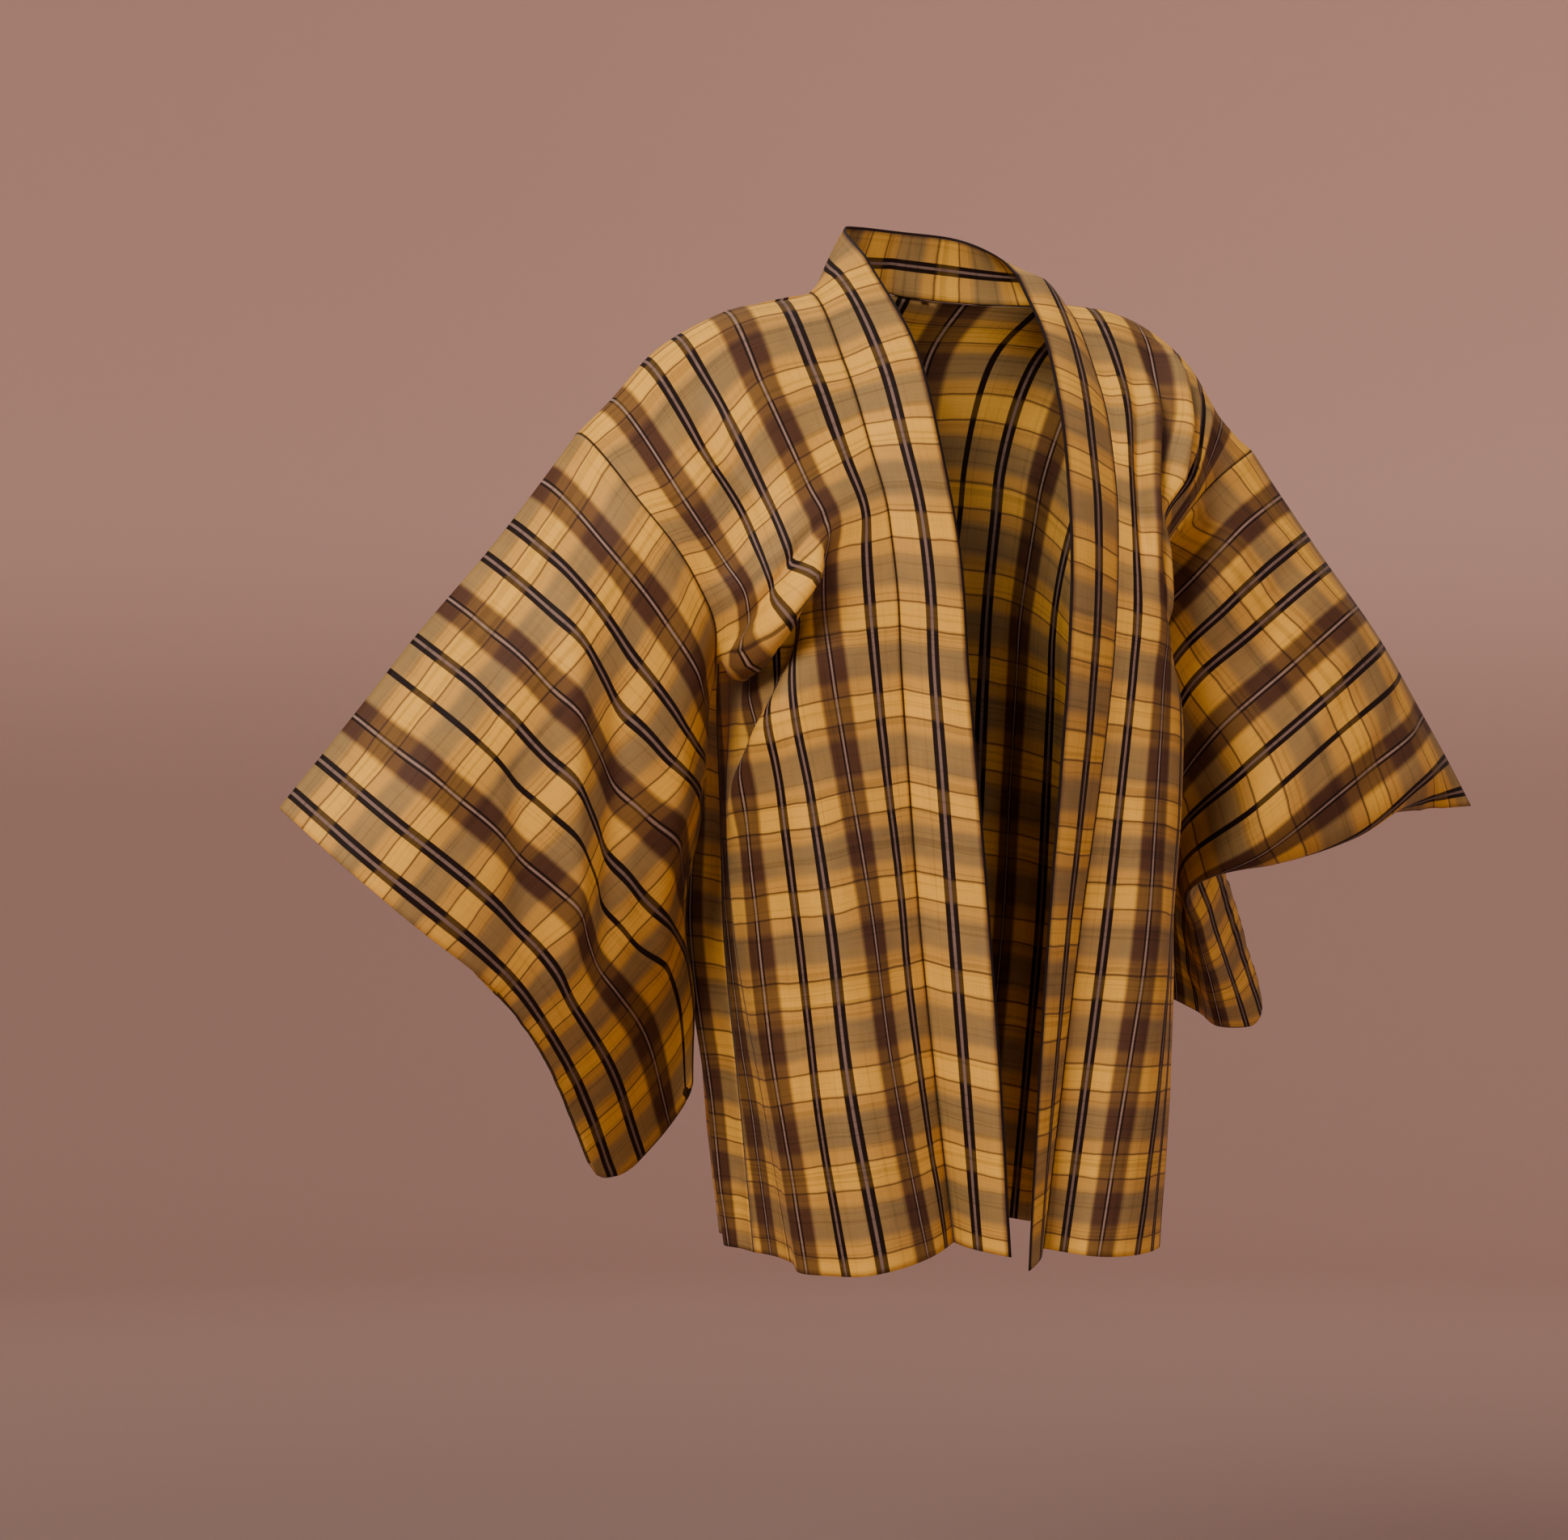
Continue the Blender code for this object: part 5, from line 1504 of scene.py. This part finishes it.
@dataclass(frozen=True)
class SilkFinish:
    """A piece's silk: where its weft bands start, and how it takes the light. Dark threads are
    rougher by `dark_gain`. `seam_shade` is how dark the line of stitches is, and `edge_from` the
    thread past which a folded edge is drawn dark. `wander` is how far the weft strays, in cm; the
    bump's depth is in metres."""

    name: str
    weft_start: float
    roughness: float = 0.58
    dark_gain: float = 0.06
    ior: float = 1.5
    specular: float = 0.1
    sheen: float = 0.03
    sheen_roughness: float = 0.4
    sheen_tint: Color = (1.0, 0.86, 0.7)
    seam_shade: float = 0.9
    edge_from: float = 99.0
    stitch_color: Color = (0.01, 0.004, 0.003)
    wander: float = 0.12
    bump: float = 0.22
    bump_depth: float = 0.0006

    def material(self, check: bpy.types.NodeTree, weave: bpy.types.NodeTree) -> bpy.types.Material:
        """Builds the material.

        Args:
            check: the check's node group.
            weave: the threads' node group.

        Returns:
            The material.
        """
        made = bpy.data.materials.new(self.name)
        made.use_nodes = True
        made.node_tree.nodes.clear()
        graph = Graph(made.node_tree)
        cloth = graph.node("ShaderNodeUVMap", uv_map="cloth")
        parts = graph.node("ShaderNodeSeparateXYZ")
        graph.feed(parts.inputs[0], cloth.outputs[0])
        thread, down = (graph.math("MULTIPLY", part, 1 / CM) for part in parts.outputs[:2])
        stray = graph.noise(graph.vector(thread, down, 3.0), 0.22)
        down = graph.math("ADD", down, graph.ease(stray, 0.2, 0.8, -self.wander, self.wander))
        plaid = graph.node("ShaderNodeGroup", node_tree=check)
        threads = graph.node("ShaderNodeGroup", node_tree=weave)
        for node in (plaid, threads):
            graph.feed(node.inputs["Thread"], thread)
            graph.feed(node.inputs["Down"], down)
        plaid.inputs["Weft Start"].default_value = self.weft_start

        seam = graph.node("ShaderNodeAttribute", attribute_name="seam", attribute_type="GEOMETRY")
        stitch = graph.ease(seam.outputs["Fac"], 0.04, 0.12, self.seam_shade, 0.0)
        edge = graph.ease(thread, self.edge_from, self.edge_from + 0.05)
        stitch = graph.math("MAXIMUM", stitch, edge)
        color = graph.mix(1.0, plaid.outputs["Color"], threads.outputs["Tone"], "MULTIPLY")
        color = graph.mix(stitch, color, self.stitch_color + (1,))

        silk = graph.node("ShaderNodeBsdfPrincipled")
        graph.feed(silk.inputs["Base Color"], color)
        rough = graph.ease(plaid.outputs["Dark"], 0.0, 1.0, self.roughness, self.roughness + self.dark_gain)
        graph.feed(silk.inputs["Roughness"], rough)
        silk.inputs["IOR"].default_value = self.ior
        silk.inputs["Specular IOR Level"].default_value = self.specular
        silk.inputs["Sheen Weight"].default_value = self.sheen
        silk.inputs["Sheen Roughness"].default_value = self.sheen_roughness
        silk.inputs["Sheen Tint"].default_value = self.sheen_tint + (1,)
        bump = graph.node("ShaderNodeBump")
        bump.inputs["Strength"].default_value = self.bump
        bump.inputs["Distance"].default_value = self.bump_depth
        graph.feed(bump.inputs["Height"], threads.outputs["Height"])
        graph.feed(silk.inputs["Normal"], bump.outputs[0])
        surface = graph.node("ShaderNodeOutputMaterial")
        graph.feed(surface.inputs["Surface"], silk.outputs[0])
        return made


def linear(red: int, green: int, blue: int) -> Color:
    """A colour written from 0 to 255, as linear values."""
    shares = [part / 255 for part in (red, green, blue)]
    return tuple(
        share / 12.92 if share <= 0.04045 else ((share + 0.055) / 1.055) ** 2.4 for share in shares
    )


# Where the lights aim; and the camera, its place in metres, its turn in degrees, its lens in mm.
CHEST = (0.0, 0.0, -0.35)
CAMERA_PLACE = (-1.512, -2.594, -0.355)
CAMERA_TURN = -28.0
LENS = 92.8
SENSOR = 36.0

TONES = CheckTones(
    gold=linear(180, 130, 57), olive=linear(126, 99, 60), bright=linear(206, 151, 56),
    brown=linear(68, 41, 27), black=linear(25, 12, 7), lilac=linear(128, 104, 94),
)


@dataclass(frozen=True)
class Lamp:
    """A square area light that faces the chest: its place and side in metres, its power in watts
    and its colour."""

    name: str
    place: tuple[float, float, float]
    size: float
    power: float
    color: Color

    def build(self) -> None:
        """Adds the light to the scene."""
        lamp = bpy.data.lights.new(self.name, "AREA")
        lamp.shape, lamp.size, lamp.energy, lamp.color = "SQUARE", self.size, self.power, self.color
        obj = bpy.data.objects.new(self.name, lamp)
        obj.location = self.place
        aim = Vector(CHEST) - obj.location
        obj.rotation_euler = aim.to_track_quat("-Z", "Y").to_euler()
        bpy.context.scene.collection.objects.link(obj)


@dataclass(frozen=True)
class Studio:
    """A round room with its floor curving up into the wall, and the soft lights.

    Each painted shade of the paper, which darkens and lightens it as the light would fall, gives where
    it starts and ends, in metres, and the tone at each end: up the wall, outwards from the middle, and along
    `aside` to the wearer's left.
    """

    radius: float = 6.5
    floor: float = -1.25
    curve_radius: float = 2.2
    height: float = 6.0
    sides: int = 96
    wall_color: Color = linear(206, 167, 153)
    paper_roughness: float = 0.9
    # Painted shade: tones that darken and lighten the paper where the lamps' light would fall off.
    painted_shade_up: tuple[float, float, float, float] = (-0.5, 0.3, 0.82, 1.26)
    painted_shade_out: tuple[float, float, float, float] = (1.4, 4.0, 0.5, 0.96)
    painted_shade_aside: tuple[float, float, float, float] = (-2.2, 2.2, 0.94, 1.06)
    aside: tuple[float, float] = (0.88, -0.47)
    air_color: Color = (0.95, 0.96, 1.0)
    air_strength: float = 0.32
    lamps: tuple[Lamp, ...] = (
        Lamp("key", (-3.0, -2.25, 1.8), 1.6, 236.0, (1.0, 0.95, 0.89)),
        Lamp("fill", (3.0, -2.8, 0.0), 2.6, 31.0, (0.95, 0.96, 1.0)),
        Lamp("low", (-1.2, -3.6, -0.8), 1.4, 30.0, (1.0, 0.97, 0.93)),
        Lamp("top", (0.4, 0.6, 3.0), 2.4, 50.0, (1.0, 0.97, 0.93)),
    )

    def build(self) -> None:
        """Builds the room, the world light and the lights."""
        self.room()
        world = bpy.data.worlds.new("studio_air")
        world.use_nodes = True
        air = world.node_tree.nodes["Background"]
        air.inputs["Color"].default_value = self.air_color + (1,)
        air.inputs["Strength"].default_value = self.air_strength
        bpy.context.scene.world = world
        for lamp in self.lamps:
            lamp.build()

    def room(self) -> bpy.types.Object:
        """The floor and the wall in one, turned round the upright axis.

        Returns:
            The room, with its paper on.
        """
        angles = np.radians(np.linspace(0, 360, self.sides + 1)[:-1])
        turn = np.radians(np.linspace(0, 90, 17))
        inner = self.radius - self.curve_radius
        profile = [(0.01, 0.0)] + [
            (inner + self.curve_radius * math.sin(at), self.curve_radius * (1 - math.cos(at))) for at in turn
        ] + [(self.radius, self.height)]
        points = [
            (reach * math.cos(angle), reach * math.sin(angle), self.floor + up)
            for reach, up in profile for angle in angles
        ]
        index = np.arange(len(points)).reshape(len(profile), len(angles))
        right = np.roll(index, -1, axis=1)
        faces = np.stack([index[:-1], right[:-1], right[1:], index[1:]], axis=-1).reshape(-1, 4)
        mesh = bpy.data.meshes.new("studio")
        mesh.from_pydata(points, [], faces.tolist())
        mesh.shade_smooth()
        mesh.materials.append(self.paper())
        made = bpy.data.objects.new("studio", mesh)
        bpy.context.scene.collection.objects.link(made)
        return made

    def paper(self) -> bpy.types.Material:
        """The backdrop's paper, in one colour with three slow painted shadings of light and shade.

        Returns:
            The material.
        """
        paper = bpy.data.materials.new("studio_paper")
        paper.use_nodes = True
        graph = Graph(paper.node_tree)
        place = graph.node("ShaderNodeTexCoord")
        parts = graph.node("ShaderNodeSeparateXYZ")
        graph.feed(parts.inputs[0], place.outputs["Object"])
        x, y, up = parts.outputs
        out = graph.node("ShaderNodeVectorMath", operation="LENGTH")
        graph.feed(out.inputs[0], graph.vector(x, y, 0.0))
        aside = graph.math("ADD", *(graph.math("MULTIPLY", *pair) for pair in zip((x, y), self.aside)))
        # Painted shade and light: darker low on the wall and near the middle of the floor, lighter up the
        # wall and towards the wearer's left.
        tone = 1.0
        for measure, painted_shade in (
            (up, self.painted_shade_up), (out.outputs["Value"], self.painted_shade_out), (aside, self.painted_shade_aside),
        ):
            tone = graph.math("MULTIPLY", tone, graph.ease(measure, *painted_shade))
        surface = paper.node_tree.nodes["Principled BSDF"]
        graph.feed(surface.inputs["Base Color"], graph.mix(1.0, self.wall_color + (1,), tone, "MULTIPLY"))
        surface.inputs["Roughness"].default_value = self.paper_roughness
        return paper


def add_camera() -> None:
    """Sets the camera, level and turned to the wearer's right."""
    lens = bpy.data.cameras.new("camera")
    lens.lens, lens.sensor_width = LENS, SENSOR
    camera = bpy.data.objects.new("camera", lens)
    camera.location = CAMERA_PLACE
    camera.rotation_euler = (math.radians(90), 0.0, math.radians(CAMERA_TURN))
    bpy.context.scene.collection.objects.link(camera)
    bpy.context.scene.camera = camera


def clear_scene() -> None:
    """Removes whatever the scene starts with."""
    for obj in list(bpy.data.objects):
        bpy.data.objects.remove(obj, do_unlink=True)


def main() -> None:
    """Builds, sews and dresses the seven pieces, then sets the studio and the camera."""
    logging.basicConfig(level=logging.INFO, format="%(name)s: %(message)s")
    clear_scene()
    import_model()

    right = BodyHalf(Side.RIGHT, RIGHT_FRONT, RIGHT_BACK, RIGHT_FRONT_FOLDS, RIGHT_BACK_FOLDS)
    left = BodyHalf(Side.LEFT, LEFT_FRONT, LEFT_BACK, LEFT_FRONT_FOLDS, LEFT_BACK_FOLDS)
    collar = Collar(RIGHT_COLLAR, RIGHT_NECK, CENTRE_NECK, LEFT_NECK, LEFT_COLLAR)
    sleeves = [
        Sleeve(Side.RIGHT, RIGHT_SLEEVE, RIGHT_SPREAD, RIGHT_SLEEVE_FOLDS, RIGHT_SLEEVE_BACK_FOLDS),
        Sleeve(Side.LEFT, LEFT_SLEEVE, LEFT_SPREAD, LEFT_SLEEVE_FOLDS, LEFT_SLEEVE_BACK_FOLDS),
    ]
    gussets = [Gusset(Side.RIGHT), Gusset(Side.LEFT)]
    for half in (right, left):
        half.drape()
    collar.drape(right.sheet, left.sheet)
    for half, sleeve, gusset in zip((right, left), sleeves, gussets):
        front, back = half.side_lines()
        sleeve.drape(front, back)
        gusset.drape(front[len(ARMHOLE_DOWN) - 1:], back[len(ARMHOLE_DOWN) - 1:])
    sew_body(right.sheet, left.sheet, collar.sheet)
    for half, sleeve, gusset in zip((right, left), sleeves, gussets):
        sew_side(half, sleeve, gusset)

    check, weave = check_group(Check(), TONES), weave_group()
    finishes = {
        "silk_body": SilkFinish("body_silk", 1.6),
        "silk_gusset": SilkFinish("gusset_silk", 1.6),
        "silk_sleeve": SilkFinish("sleeve_silk", 3.5),
        "silk_collar": SilkFinish("collar_silk", 1.6, edge_from=17.74),
    }
    silks = {slot: finish.material(check, weave) for slot, finish in finishes.items()}
    pieces = [part.piece() for part in (right, left, collar, *sleeves, *gussets)]
    for piece in pieces:
        obj = piece.build(silks[piece.slot])
        LOG.info("built %s: %d faces", obj.name, len(obj.data.polygons))
    by_node = {piece.node: piece for piece in pieces}
    for piece in pieces:
        piece.declare(by_node)

    Studio().build()
    add_camera()


if __name__ == "__main__":
    main()
